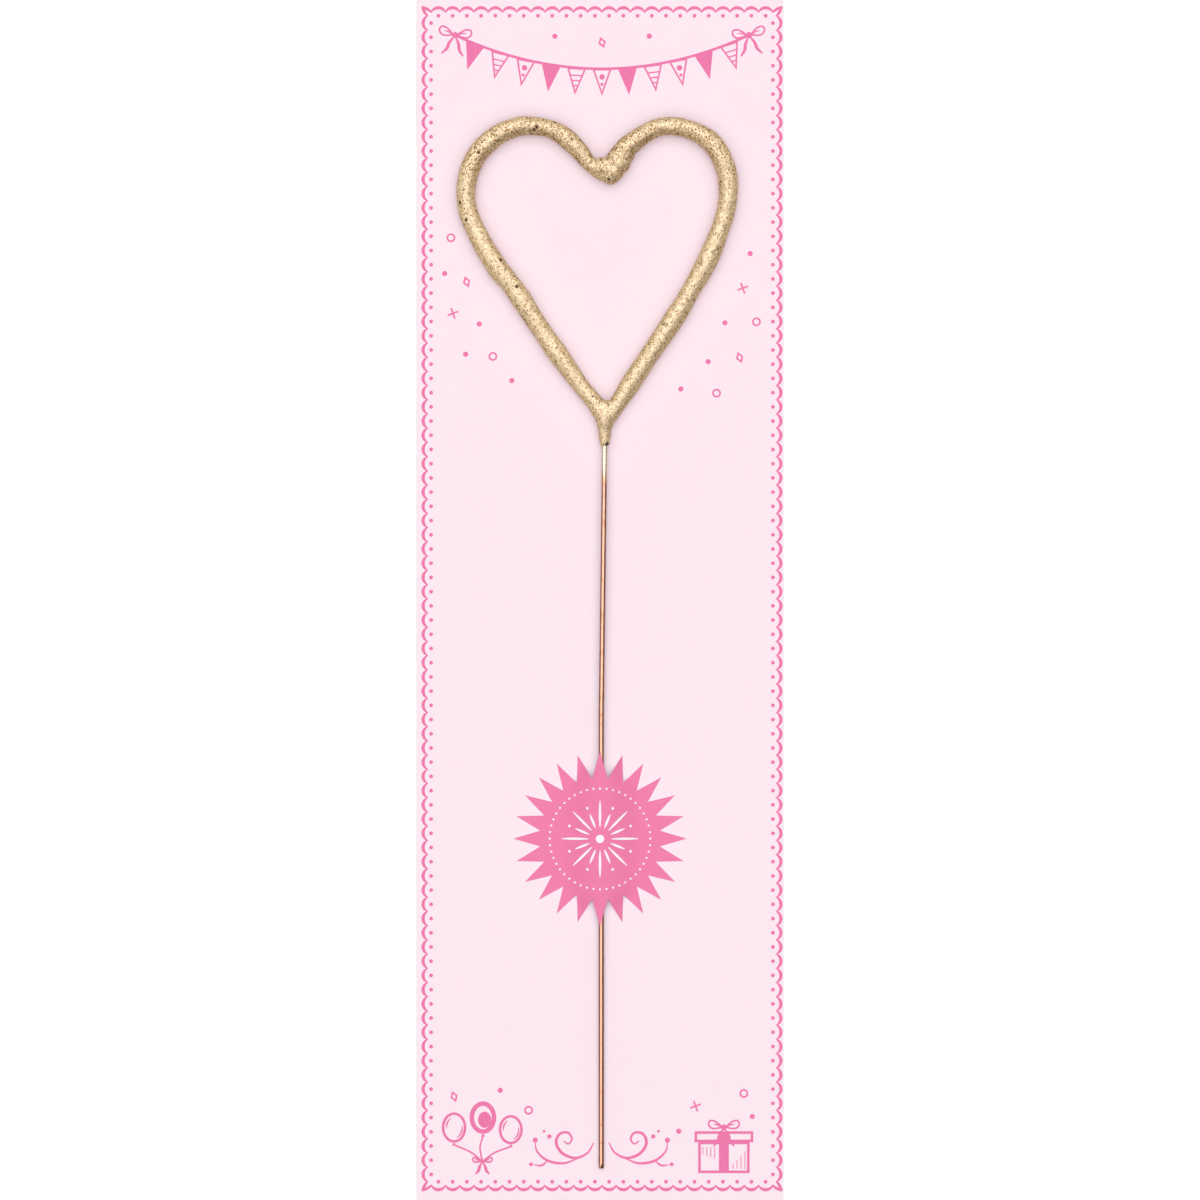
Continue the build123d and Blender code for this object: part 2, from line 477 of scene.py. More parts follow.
@dataclass(frozen=True)
class GrittyLacquerFinish(Finish):
    """Gold bronze lacquer over grit: each grain tips its own way, so it glints cream or goes brown."""

    colour: str = "#E7CBA3"
    bright: str = "#F2E2C9"
    shade: str = "#875915"
    speck: str = "#52340C"
    pit: str = "#381B05"
    # Painted shade: the coat's flanks are tinted a little darker and yellower than the rod's top.
    painted_flank_tint: str = "#FCFCEC"
    edge_tint: str = "#5A4212"
    # Grains are about 0.15 mm. They are drawn coarser, so that they show in the render.
    grain: float = 0.22
    fine_grain: float = 0.17
    grain_height: float = 0.08
    speck_size: float = 0.3
    patch: float = 3.0
    patchiness: float = 0.45
    tilt: float = 0.38
    lobe_darkening: float = 0.14
    least_roughness: float = 0.42
    most_roughness: float = 0.68
    metallic: float = 0.75

    def dress(self, tree: Tree, shader: Node, place: Socket) -> None:
        """Tip the grains, tone them one by one and scatter the bare dark ones.

        Args:
            tree: the material's node tree.
            shader: its surface shader.
            place: the place on the piece.
        """
        grains = add_node(tree, "ShaderNodeTexVoronoi", {"Vector": place, "Scale": repeats(self.grain)})
        chance = grains.outputs["Color"]
        fine = add_node(tree, "ShaderNodeTexNoise", {
            "Vector": place, "Scale": repeats(self.fine_grain), "Detail": 2.0}).outputs["Fac"]
        rough = add_node(tree, "ShaderNodeMapRange", {
            "Value": fine, "To Min": self.least_roughness, "To Max": self.most_roughness})
        feed(shader, {
            "Base Color": self.specked(tree, place, fine, self.grained(tree, chance, fine)),
            "Roughness": rough.outputs["Result"], "Normal": self.tipped(tree, chance, fine),
            "Metallic": self.metallic, "Specular Tint": linear(self.edge_tint)})

    def grained(self, tree: Tree, chance: Socket, fine: Socket) -> Socket:
        """Tone each grain from cream to brown, browner towards the lobes, with painted shade that makes the
        flanks yellower.

        Args:
            tree: the material's node tree.
            chance: a random colour for each grain.
            fine: the fine noise within the grains.

        Returns:
            The coat's colour.
        """
        glint = add_node(tree, "ShaderNodeMapRange", {"Value": fine, "From Min": 0.35, "From Max": 0.65})
        pale = add_node(tree, "ShaderNodeMix", {
            MIX_FACTOR: glint.outputs["Result"], MIX_FIRST: linear(self.colour),
            MIX_SECOND: linear(self.bright)}, data_type="RGBA")
        tone = add_node(tree, "ShaderNodeSeparateColor", {"Color": chance})
        lobe_share = add_node(tree, "ShaderNodeAttribute", attribute_name="lobe_share")
        heavy = add_node(tree, "ShaderNodeMath", {
            0: lobe_share.outputs["Fac"], 1: self.lobe_darkening, 2: tone.outputs[1]}, operation="MULTIPLY_ADD")
        deep = add_node(tree, "ShaderNodeMapRange", {
            "Value": heavy.outputs[0], "From Min": 0.58, "From Max": 1.0, "To Max": 0.88})
        body = add_node(tree, "ShaderNodeMix", {
            MIX_FACTOR: deep.outputs["Result"], MIX_FIRST: pale.outputs[MIX_COLOUR],
            MIX_SECOND: linear(self.shade)}, data_type="RGBA")
        # Painted shade: where the coat faces away from straight up, its colour is multiplied by the flank
        # tint.
        facing = add_node(tree, "ShaderNodeTexCoord").outputs["Normal"]
        upward = add_node(tree, "ShaderNodeSeparateXYZ", {"Vector": facing})
        painted_flank_share = add_node(tree, "ShaderNodeMapRange", {
            "Value": upward.outputs["Z"], "From Min": 0.8, "From Max": 0.95, "To Min": 1.0, "To Max": 0.0})
        tinted = add_node(tree, "ShaderNodeMix", {
            MIX_FACTOR: painted_flank_share.outputs["Result"], MIX_FIRST: body.outputs[MIX_COLOUR],
            MIX_SECOND: linear(self.painted_flank_tint)}, data_type="RGBA", blend_type="MULTIPLY")
        return tinted.outputs[MIX_COLOUR]

    def specked(self, tree: Tree, place: Socket, fine: Socket, body: Socket) -> Socket:
        """Scatter bare grains in patches, darken the burst bubbles and paint shade into the cleft's crease.

        Args:
            tree: the material's node tree.
            place: the place on the piece.
            fine: the fine noise within the grains.
            body: the coat's colour.

        Returns:
            The colour with its dark specks.
        """
        spots = add_node(tree, "ShaderNodeTexVoronoi", {"Vector": place, "Scale": repeats(self.speck_size)})
        chance = add_node(tree, "ShaderNodeSeparateColor", {"Color": spots.outputs["Color"]})
        thin = add_node(tree, "ShaderNodeTexNoise", {"Vector": place, "Scale": repeats(self.patch)})
        likely = add_node(tree, "ShaderNodeMath", {
            0: thin.outputs["Fac"], 1: self.patchiness, 2: chance.outputs[2]}, operation="MULTIPLY_ADD")
        bare = add_node(tree, "ShaderNodeMapRange", {
            "Value": likely.outputs[0], "From Min": 1.21, "From Max": 1.26, "To Max": 0.85})
        specked = add_node(tree, "ShaderNodeMix", {
            MIX_FACTOR: bare.outputs["Result"], MIX_FIRST: body,
            MIX_SECOND: linear(self.speck)}, data_type="RGBA")
        soot_and_crease_shade = add_node(tree, "ShaderNodeAttribute", attribute_name="soot_and_crease_shade")
        holes = add_node(tree, "ShaderNodeMapRange", {
            "Value": fine, "From Min": 0.35, "From Max": 0.6, "To Min": 1.0, "To Max": 0.8})
        burst = add_node(tree, "ShaderNodeMath", {
            0: soot_and_crease_shade.outputs["Fac"], 1: holes.outputs["Result"]}, operation="MULTIPLY")
        colour = add_node(tree, "ShaderNodeMix", {
            MIX_FACTOR: burst.outputs[0], MIX_FIRST: specked.outputs[MIX_COLOUR],
            MIX_SECOND: linear(self.pit)}, data_type="RGBA")
        return colour.outputs[MIX_COLOUR]

    def tipped(self, tree: Tree, chance: Socket, fine: Socket) -> Socket:
        """Tip each grain at random and roughen it.

        Args:
            tree: the material's node tree.
            chance: a random colour for each grain.
            fine: the fine noise within the grains.

        Returns:
            The direction that the surface faces.
        """
        lean = add_node(tree, "ShaderNodeVectorMath", {
            0: chance, 1: (0.5, 0.5, 0.5)}, operation="SUBTRACT")
        amount = add_node(tree, "ShaderNodeVectorMath", {
            0: lean.outputs[0], "Scale": self.tilt}, operation="SCALE")
        upright = add_node(tree, "ShaderNodeNewGeometry").outputs["Normal"]
        tipped = add_node(tree, "ShaderNodeVectorMath", {
            0: upright, 1: amount.outputs[0]}, operation="ADD")
        facet = add_node(tree, "ShaderNodeVectorMath", {0: tipped.outputs[0]}, operation="NORMALIZE")
        bump = add_node(tree, "ShaderNodeBump", {
            "Height": fine, "Normal": facet.outputs[0], "Strength": 0.6, "Distance": self.grain_height * MM})
        return bump.outputs["Normal"]


@dataclass(frozen=True)
class GritFinish(Finish):
    """Sparkler composition, dipped and dried: dull grey grit of steel filings and salts in a binder."""

    colour: str = "#6E6B68"
    filing: str = "#3C3B3C"
    grain: float = 0.45
    grain_height: float = 0.1
    roughness: float = 0.85

    def dress(self, tree: Tree, shader: Node, place: Socket) -> None:
        """Speckle the binder with filings.

        Args:
            tree: the material's node tree.
            shader: its surface shader.
            place: the place on the piece.
        """
        grains = add_node(tree, "ShaderNodeTexVoronoi", {"Vector": place, "Scale": repeats(self.grain)})
        tone = add_node(tree, "ShaderNodeSeparateColor", {"Color": grains.outputs["Color"]})
        colour = add_node(tree, "ShaderNodeMix", {
            MIX_FACTOR: tone.outputs[0], MIX_FIRST: linear(self.colour),
            MIX_SECOND: linear(self.filing)}, data_type="RGBA")
        bump = add_node(tree, "ShaderNodeBump", {
            "Height": grains.outputs["Distance"], "Strength": 0.7, "Distance": self.grain_height * MM})
        feed(shader, {
            "Base Color": colour.outputs[MIX_COLOUR], "Normal": bump.outputs["Normal"],
            "Roughness": self.roughness})


# Clay-coated board with a flat printed tint: pale, even and matt.
FRONT_BOARD = PaperFinish("coated_board_pale_pink", colour="#FEEAF3", cloud_colour="#FCE6F0")
# The board where the die cut it: open fibres, off-white and uneven.
BOARD_EDGE = PaperFinish(
    "cut_board_edge", colour="#FBF6F2", cloud_colour="#E9DFD8", cloud=0.4, fibre=0.12)
# The board's uncoated back: a warmer white with a coarser tooth.
BOARD_BACK = PaperFinish(
    "uncoated_board_back", colour="#F8F5F1", cloud_colour="#EFEAE3", tooth=0.012, roughness=0.8)
# Label paper flooded with rose ink: strong in colour, with a slight sheen.
LABEL_FACE = PaperFinish("label_paper_rose", colour="#F381AE", cloud_colour="#F07AA9", roughness=0.58)
# The label paper's cut edge and back: plain white paper with a hint of the ink.
LABEL_EDGE = PaperFinish("cut_label_edge", colour="#FBEFF3", cloud_colour="#F3DCE5", fibre=0.1)
# Offset ink on the card and on the label: crisp flat shapes.
ROSE_INK = InkFinish("offset_ink_rose", colour="#EE76AB", thin_colour="#F388B7")
WHITE_INK = InkFinish("offset_ink_white", colour="#FFFAFC", thin_colour="#FFEFF6")
# Acrylic adhesive: a wet gloss on a film that is hardly yellow.
LABEL_GLUE = GlueFinish("acrylic_adhesive")
# Copper plate drawn through a die: salmon metal with fine bright lines.
COPPER_WIRE = DrawnCopperFinish("copper_plated_drawn_wire")
# Bronze lacquer on bare wire: a pale smooth gold that wears to copper.
THIN_LACQUER = DippedLacquerFinish("gold_lacquer_on_wire")
# Bronze lacquer on grit: grains that glint cream or go brown.
GOLD_COAT = GrittyLacquerFinish("gold_lacquer_on_grit")
# Dried composition: dull grey grit.
GRIT = GritFinish("sparkler_composition_grit")


def make_piece(name: str, points: Points, faces: Sequence[Sequence[int]], smooth: bool = False) -> Piece:
    """Make a mesh object with its faces turned outward.

    Args:
        name: the piece's name.
        points: the corners in millimetres.
        faces: the corner numbers of each face.
        smooth: whether the faces are shaded smooth.

    Returns:
        The linked object.
    """
    mesh = bpy.data.meshes.new(name)
    mesh.from_pydata((np.asarray(points, float) * MM).tolist(), [], [list(face) for face in faces])
    shell = bmesh.new()
    shell.from_mesh(mesh)
    bmesh.ops.recalc_face_normals(shell, faces=shell.faces)
    shell.to_mesh(mesh)
    shell.free()
    if smooth:
        mesh.shade_smooth()
    else:
        mesh.shade_flat()
    piece = bpy.data.objects.new(name, mesh)
    bpy.context.scene.collection.objects.link(piece)
    return piece


def apply_modifiers(piece: Piece) -> None:
    """Put what the piece's modifiers make into its own mesh.

    Args:
        piece: the object, which is left without modifiers.
    """
    graph = bpy.context.evaluated_depsgraph_get()
    mesh = bpy.data.meshes.new_from_object(piece.evaluated_get(graph))
    old = piece.data
    piece.modifiers.clear()
    piece.data = mesh
    bpy.data.meshes.remove(old)


def corners_of(piece: Piece) -> Points:
    """Read a piece's corners.

    Args:
        piece: the object.

    Returns:
        One row for each corner, in millimetres.
    """
    flat = np.empty(len(piece.data.vertices) * 3, np.float32)
    piece.data.vertices.foreach_get("co", flat)
    return flat.reshape(-1, 3).astype(float) / MM


def normals_of(piece: Piece) -> Points:
    """Read the outward direction at each corner of a piece.

    Args:
        piece: the object.

    Returns:
        One row for each corner.
    """
    flat = np.empty(len(piece.data.vertices) * 3, np.float32)
    piece.data.vertex_normals.foreach_get("vector", flat)
    return flat.reshape(-1, 3).astype(float)


def move_corners(piece: Piece, points: Points) -> None:
    """Set a piece's corners, in millimetres."""
    piece.data.vertices.foreach_set("co", (points * MM).astype(np.float32).ravel())
    piece.data.update()


def mark_corners(piece: Piece, name: str, values: np.ndarray) -> None:
    """Give each corner of a piece a number that its material reads by name."""
    attribute = piece.data.attributes.new(name, "FLOAT", "POINT")
    attribute.data.foreach_set("value", values.astype(np.float32).ravel())


def arc(centre: Place, radii: Place, start: float, end: float, steps: int) -> Points:
    """Points along an ellipse's arc.

    Args:
        centre: the ellipse's middle.
        radii: its half width and half height.
        start: the first angle in degrees.
        end: the last angle in degrees.
        steps: how many steps to take.

    Returns:
        One row for each point.
    """
    angles = np.radians(np.linspace(start, end, steps + 1))
    return np.column_stack([centre[0] + radii[0] * np.cos(angles), centre[1] + radii[1] * np.sin(angles)])


def loop(centre: Place, radii: Place, steps: int) -> Points:
    """Points once round an ellipse, without repeating the first."""
    return arc(centre, radii, 0, 360, steps)[:-1]


def polar(reach: float, bearing: float) -> Place:
    """The point at a reach from the origin, at a bearing in degrees."""
    turn = math.radians(bearing)
    return reach * math.cos(turn), reach * math.sin(turn)


def panel(half: float, low: float, high: float) -> Points:
    """The corners of a rectangle that lies evenly about the upright axis."""
    return np.array([(-half, low), (half, low), (half, high), (-half, high)])


def flowing(points: Sequence[Place], steps: int = 8, closed: bool = False) -> Points:
    """A smooth line through given points.

    Args:
        points: the points that it passes.
        steps: how many steps from one point to the next.
        closed: whether it runs back to its first point.

    Returns:
        One row for each point of the line.
    """
    given = np.asarray(points, float)
    count = len(given)
    ends = given if closed else np.vstack([2 * given[0] - given[1], given, 2 * given[-1] - given[-2]])
    spans = range(count) if closed else range(count - 1)
    share = np.linspace(0, 1, steps, endpoint=False)[:, None]
    line = []
    for span in spans:
        numbers = [(span + k - 1) % count for k in range(4)] if closed else range(span, span + 4)
        before, first, second, after = (ends[number] for number in numbers)
        pull = (second - before) / 2
        push = (after - first) / 2
        cubic = 2 * (first - second) + pull + push
        square = 3 * (second - first) - 2 * pull - push
        line.append(((cubic * share + square) * share + pull) * share + first)
    if not closed:
        line.append(given[-1:])
    return np.vstack(line)


def headings(path: Points) -> Points:
    """Unit directions along a path."""
    steps = np.gradient(path, axis=0)
    return steps / np.linalg.norm(steps, axis=1, keepdims=True)


def left_of(directions: Points) -> Points:
    """Turn flat directions a quarter turn to the left."""
    return np.column_stack([-directions[:, 1], directions[:, 0]])


def lengths_along(path: Points) -> np.ndarray:
    """Distance from the start of a path to each of its points."""
    return np.concatenate([[0.0], np.cumsum(np.linalg.norm(np.diff(path, axis=0), axis=1))])


def evenly(path: Points, step: float) -> Points:
    """Space a path's points evenly.

    Args:
        path: the points along it.
        step: about how far apart they end up.

    Returns:
        The new points, with the path's own first and last.
    """
    lengths = lengths_along(path)
    places = np.linspace(0, lengths[-1], max(2, int(lengths[-1] / step)) + 1)
    return np.column_stack([np.interp(places, lengths, path[:, axis]) for axis in range(path.shape[1])])


def inset(outline: Points, width: float) -> Points:
    """Draw an outline again, inside itself.

    Args:
        outline: the closed outline, in either direction.
        width: how far inside.

    Returns:
        As many points as the outline has.
    """
    # Without a limit, the inner point of a very sharp corner would run far off.
    sharpest = 0.25
    ahead = np.roll(outline, -1, axis=0)
    area = np.sum(outline[:, 0] * ahead[:, 1] - ahead[:, 0] * outline[:, 1])
    edge = (ahead - outline) / np.linalg.norm(ahead - outline, axis=1, keepdims=True)
    inward = left_of(edge) * np.sign(area)
    previous = np.roll(inward, 1, axis=0)
    square = 1 + np.sum(inward * previous, axis=1, keepdims=True)
    return outline + width * (inward + previous) / np.maximum(square, sharpest)


def rounded_route(start: Place, bends: Sequence[Bend], end: Place, step: float) -> Points:
    """The centreline of a wire bent on pegs: straight runs joined by arcs.

    Args:
        start: the first point.
        bends: the corners of the route in order.
        end: the last point.
        step: the spacing of the points.

    Returns:
        Evenly spaced points along the route.
    """
    chain = [np.array(start, float), *(np.array(bend[:2]) for bend in bends), np.array(end, float)]
    route = [chain[0][None, :]]
    for before, corner, after, bend in zip(chain, chain[1:], chain[2:], bends):
        back = (before - corner) / np.linalg.norm(before - corner)
        ahead = (after - corner) / np.linalg.norm(after - corner)
        half = math.acos(np.clip(back @ ahead, -1, 1)) / 2
        middle = corner + (back + ahead) / np.linalg.norm(back + ahead) * bend.run / math.cos(half)
        radius = bend.run * math.tan(half)
        first = np.degrees(np.arctan2(*(corner + back * bend.run - middle)[::-1]))
        last = np.degrees(np.arctan2(*(corner + ahead * bend.run - middle)[::-1]))
        sweep = (last - first + 180) % 360 - 180
        route.append(arc(tuple(middle), (radius, radius), first, first + sweep, BEND_STEPS))
    route.append(chain[-1][None, :])
    return evenly(np.vstack(route), step)


def walls(rings: int, sides: int, start: int = 0) -> Faces:
    """Faces that join rings of points, each ring to the next.

    Args:
        rings: how many rings there are.
        sides: how many points each ring has.
        start: the number of the first ring's first point.

    Returns:
        The four corner numbers of each face.
    """
    faces = []
    for here in range(start, start + (rings - 1) * sides, sides):
        for side in range(sides):
            after = (side + 1) % sides
            faces.append([here + side, here + after, here + sides + after, here + sides + side])
    return faces


def caps(rings: int, sides: int) -> Faces:
    """The faces that close the first and the last of some rings of points."""
    return [list(range(sides)), list(range((rings - 1) * sides, rings * sides))]


def tube(path: Points, radii: np.ndarray) -> tuple[Points, Faces]:
    """A round tube along a path that lies in one plane.

    Args:
        path: the centreline, two columns.
        radii: the radius at each point.

    Returns:
        Its points, with the height above the plane third, and its faces.
    """
    across = left_of(headings(path))
    angles = np.linspace(0, 2 * math.pi, ROUND_SIDES, endpoint=False)
    flat = path[:, None, :] + across[:, None, :] * (radii[:, None] * np.cos(angles))[:, :, None]
    height = radii[:, None] * np.sin(angles)
    points = np.concatenate([flat, height[:, :, None]], axis=2).reshape(-1, 3)
    return points, walls(len(path), ROUND_SIDES) + caps(len(path), ROUND_SIDES)


@dataclass
class InkFilm:
    """Print as thin closed films of ink, each lying on the surface below it."""

    surface: Surface
    thickness: float = 0.01
    clearance: float = 0.002
    layer: float = 0.0006
    layers: int = 40
    ring_step: float = 0.25
    least_half_width: float = 0.01
    # How far a line's round end reaches at each of its points, as shares of half its width.
    cap_steps: tuple[float, ...] = (1.0, 0.9, 0.6, 0.3)
    shapes: int = 0
    points: list[Points] = field(default_factory=list)
    faces: Faces = field(default_factory=list)
    count: int = 0
    origin: Place = (0.0, 0.0)
    turn: float = 0.0
    mirrored: bool = False

    def move_to(self, x: float, y: float, turn: float = 0.0, mirrored: bool = False) -> None:
        """Draw what follows from another origin.

        Args:
            x: how far across the print it is.
            y: how far up.
            turn: the angle in degrees by which the drawing is turned.
            mirrored: whether the drawing's left and right are swapped.
        """
        self.origin = (x, y)
        self.turn = turn
        self.mirrored = mirrored

    def placed(self, flat: Points) -> Points:
        """Carry drawing points to their place on the print.

        Args:
            flat: the points as drawn.

        Returns:
            The points as printed.
        """
        drawn = np.asarray(flat, float) * ((-1, 1) if self.mirrored else (1, 1))
        angle = math.radians(self.turn)
        turned = np.array([[math.cos(angle), math.sin(angle)], [-math.sin(angle), math.cos(angle)]])
        return drawn @ turned + self.origin

    def lay(self, flat: Points, faces: Sequence[Sequence[int]], rim: Sequence[Sequence[int]]) -> None:
        """Add one shape as a closed film.

        Args:
            flat: the shape's points.
            faces: the faces of its upper side.
            rim: its boundary edges, each as two point numbers.
        """
        place = self.placed(flat)
        number = len(place)
        base = self.surface(place) + self.clearance
        # Shapes that cross lie one over the other, so that no two faces share a height.
        top = base + self.thickness + self.layer * (self.shapes % self.layers)
        self.shapes += 1
        self.points.append(np.column_stack([place, top]))
        self.points.append(np.column_stack([place, base]))
        start = self.count
        self.faces += [[start + corner for corner in face] for face in faces]
        self.faces += [[start + number + corner for corner in reversed(face)] for face in faces]
        self.faces += [[start + a, start + b, start + number + b, start + number + a] for a, b in rim]
        self.count += 2 * number

    def band(self, left: Points, right: Points, closed: bool = False) -> None:
        """Fill the strip between two lines.

        Args:
            left: the points of one line.
            right: as many points of the other.
            closed: whether the strip runs back to its start.
        """
        number = len(left)
        spans = [(k, (k + 1) % number) for k in range(number if closed else number - 1)]
        faces = [[a, number + a, number + b, b] for a, b in spans]
        rim = [[a, b] for a, b in spans] + [[number + a, number + b] for a, b in spans]
        if not closed:
            rim += [[0, number], [number - 1, 2 * number - 1]]
        self.lay(np.vstack([left, right]), faces, rim)

    def patch(self, outline: Points) -> None:
        """Fill a closed outline."""
        number = len(outline)
        self.lay(outline, [list(range(number))], [[k, (k + 1) % number] for k in range(number)])

    def edge(self, outline: Points, width: float) -> None:
        """Draw along the inside of a closed outline."""
        self.band(outline, inset(outline, width), closed=True)

    def disc(self, centre: Place, radius: float) -> None:
        """Fill a round spot with rings about its middle, so that it follows a curved surface.

        Args:
            centre: the spot's middle.
            radius: its radius.
        """
        sides = ROUND_SIDES
        rings = math.ceil(radius / self.ring_step)
        flat = [np.array([centre])]
        flat += [loop(centre, (radius * ring / rings,) * 2, sides) for ring in range(1, rings + 1)]
        faces = [[0, 1 + side, 1 + (side + 1) % sides] for side in range(sides)]
        faces += walls(rings, sides, start=1)
        last = 1 + (rings - 1) * sides
        self.lay(np.vstack(flat), faces, [[last + side, last + (side + 1) % sides] for side in range(sides)])

    def stroke(self, path: Points, width: float, thin_ends: float = 1.0) -> None:
        """Draw a line with round ends.

        Args:
            path: the points along it.
            width: its width at the middle.
            thin_ends: the share of the width that is left at its ends.
        """
        line = np.asarray(path, float)
        share = lengths_along(line) / lengths_along(line)[-1]
        half = width / 2 * (thin_ends + (1 - thin_ends) * np.sin(math.pi * share))
        heading = headings(line)
        cap = np.array(self.cap_steps)
        narrow = np.sqrt(1 - cap ** 2)
        front = line[0] - heading[0] * (cap * half[0])[:, None]
        rear = line[-1] + heading[-1] * (cap[::-1] * half[-1])[:, None]
        centre = np.vstack([front, line, rear])
        half = np.concatenate([narrow * half[0], half, narrow[::-1] * half[-1]])
        heading = np.pad(heading, ((len(cap), len(cap)), (0, 0)), mode="edge")
        across = left_of(heading) * np.maximum(half, self.least_half_width)[:, None]
        self.band(centre + across, centre - across)

    def piece(self, name: str) -> Piece:
        """Make one object of all that was drawn."""
        return make_piece(name, np.vstack(self.points), self.faces)


@dataclass
class SubAssembly:
    """What every sub-assembly has: the body that carries it."""

    body: Body

    def claim(self, piece: Piece, slot: Slot, *nodes: str) -> None:
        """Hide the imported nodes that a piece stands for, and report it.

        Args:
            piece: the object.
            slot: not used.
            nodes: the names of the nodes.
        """
        if nodes:
            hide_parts(*nodes)
        log.info("%s: %d faces on %s", piece.name, len(piece.data.polygons), self.body.value)

    def carry(self, piece: Piece, slot: Slot, *nodes: str) -> None:
        """Let a piece ride on the body, in place of the nodes that it stands for."""
        self.claim(piece, slot, *nodes)
        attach(piece, self.body.value)


@dataclass
class BackingCard(SubAssembly):
    """The board that the sparkler is sold on: a die-cut rectangle with a tinted face."""

    corner_radius: float = 0.3
    corner_steps: int = 5
    edge_round: float = 0.05
    # How far in from the cut and from the face the round edge's middle lies, as a share of its radius.
    edge_middle: float = 0.3
    # A face belongs to the cut edge where the height of its outward direction is less than this.
    least_upright: float = 0.6

    def outline(self, margin: float) -> Points:
        """The card's outline.

        Args:
            margin: how far it is drawn in.

        Returns:
            One row for each point.
        """
        low, high = (np.array(corner[:2]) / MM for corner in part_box("backing_card"))
        radius = self.corner_radius
        reach = radius - margin
        sides = []
        for turn, x, y in ((0, 1, 1), (90, 0, 1), (180, 0, 0), (270, 1, 0)):
            centre_x = high[0] - radius if x else low[0] + radius
            centre_y = high[1] - radius if y else low[1] + radius
            sides.append(arc((centre_x, centre_y), (reach, reach), turn, turn + 90, self.corner_steps))
        return np.vstack(sides)

    def build(self) -> None:
        """Stack the card's outlines, with the cut edge a little rounded."""
        bottom, top = (corner.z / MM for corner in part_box("backing_card"))
        soft = self.edge_round
        middle = soft * self.edge_middle
        levels = [(soft, bottom), (middle, bottom + middle), (0.0, bottom + soft)]
        levels += [(0.0, top - soft), (middle, top - middle), (soft, top)]
        rings = []
        for margin, height in levels:
            outline = self.outline(margin)
            rings.append(np.column_stack([outline, np.full(len(outline), height)]))
        sides = len(rings[0])
        faces = caps(len(rings), sides) + walls(len(rings), sides)
        piece = make_piece("backing_card_board", np.vstack(rings), faces)
        self.dress(piece)
        self.carry(piece, Slot.BOARD, "backing_card")

    def dress(self, piece: Piece) -> None:
        """Tint the front and leave the back and the cut edge plain.

        Args:
            piece: the board.
        """
        for finish in (FRONT_BOARD, BOARD_EDGE, BOARD_BACK):
            piece.data.materials.append(finish.material())
        front, edge, back = range(3)
        for face in piece.data.polygons:
            if face.normal.z > self.least_upright:
                face.material_index = front
            elif face.normal.z < -self.least_upright:
                face.material_index = back
            else:
                face.material_index = edge


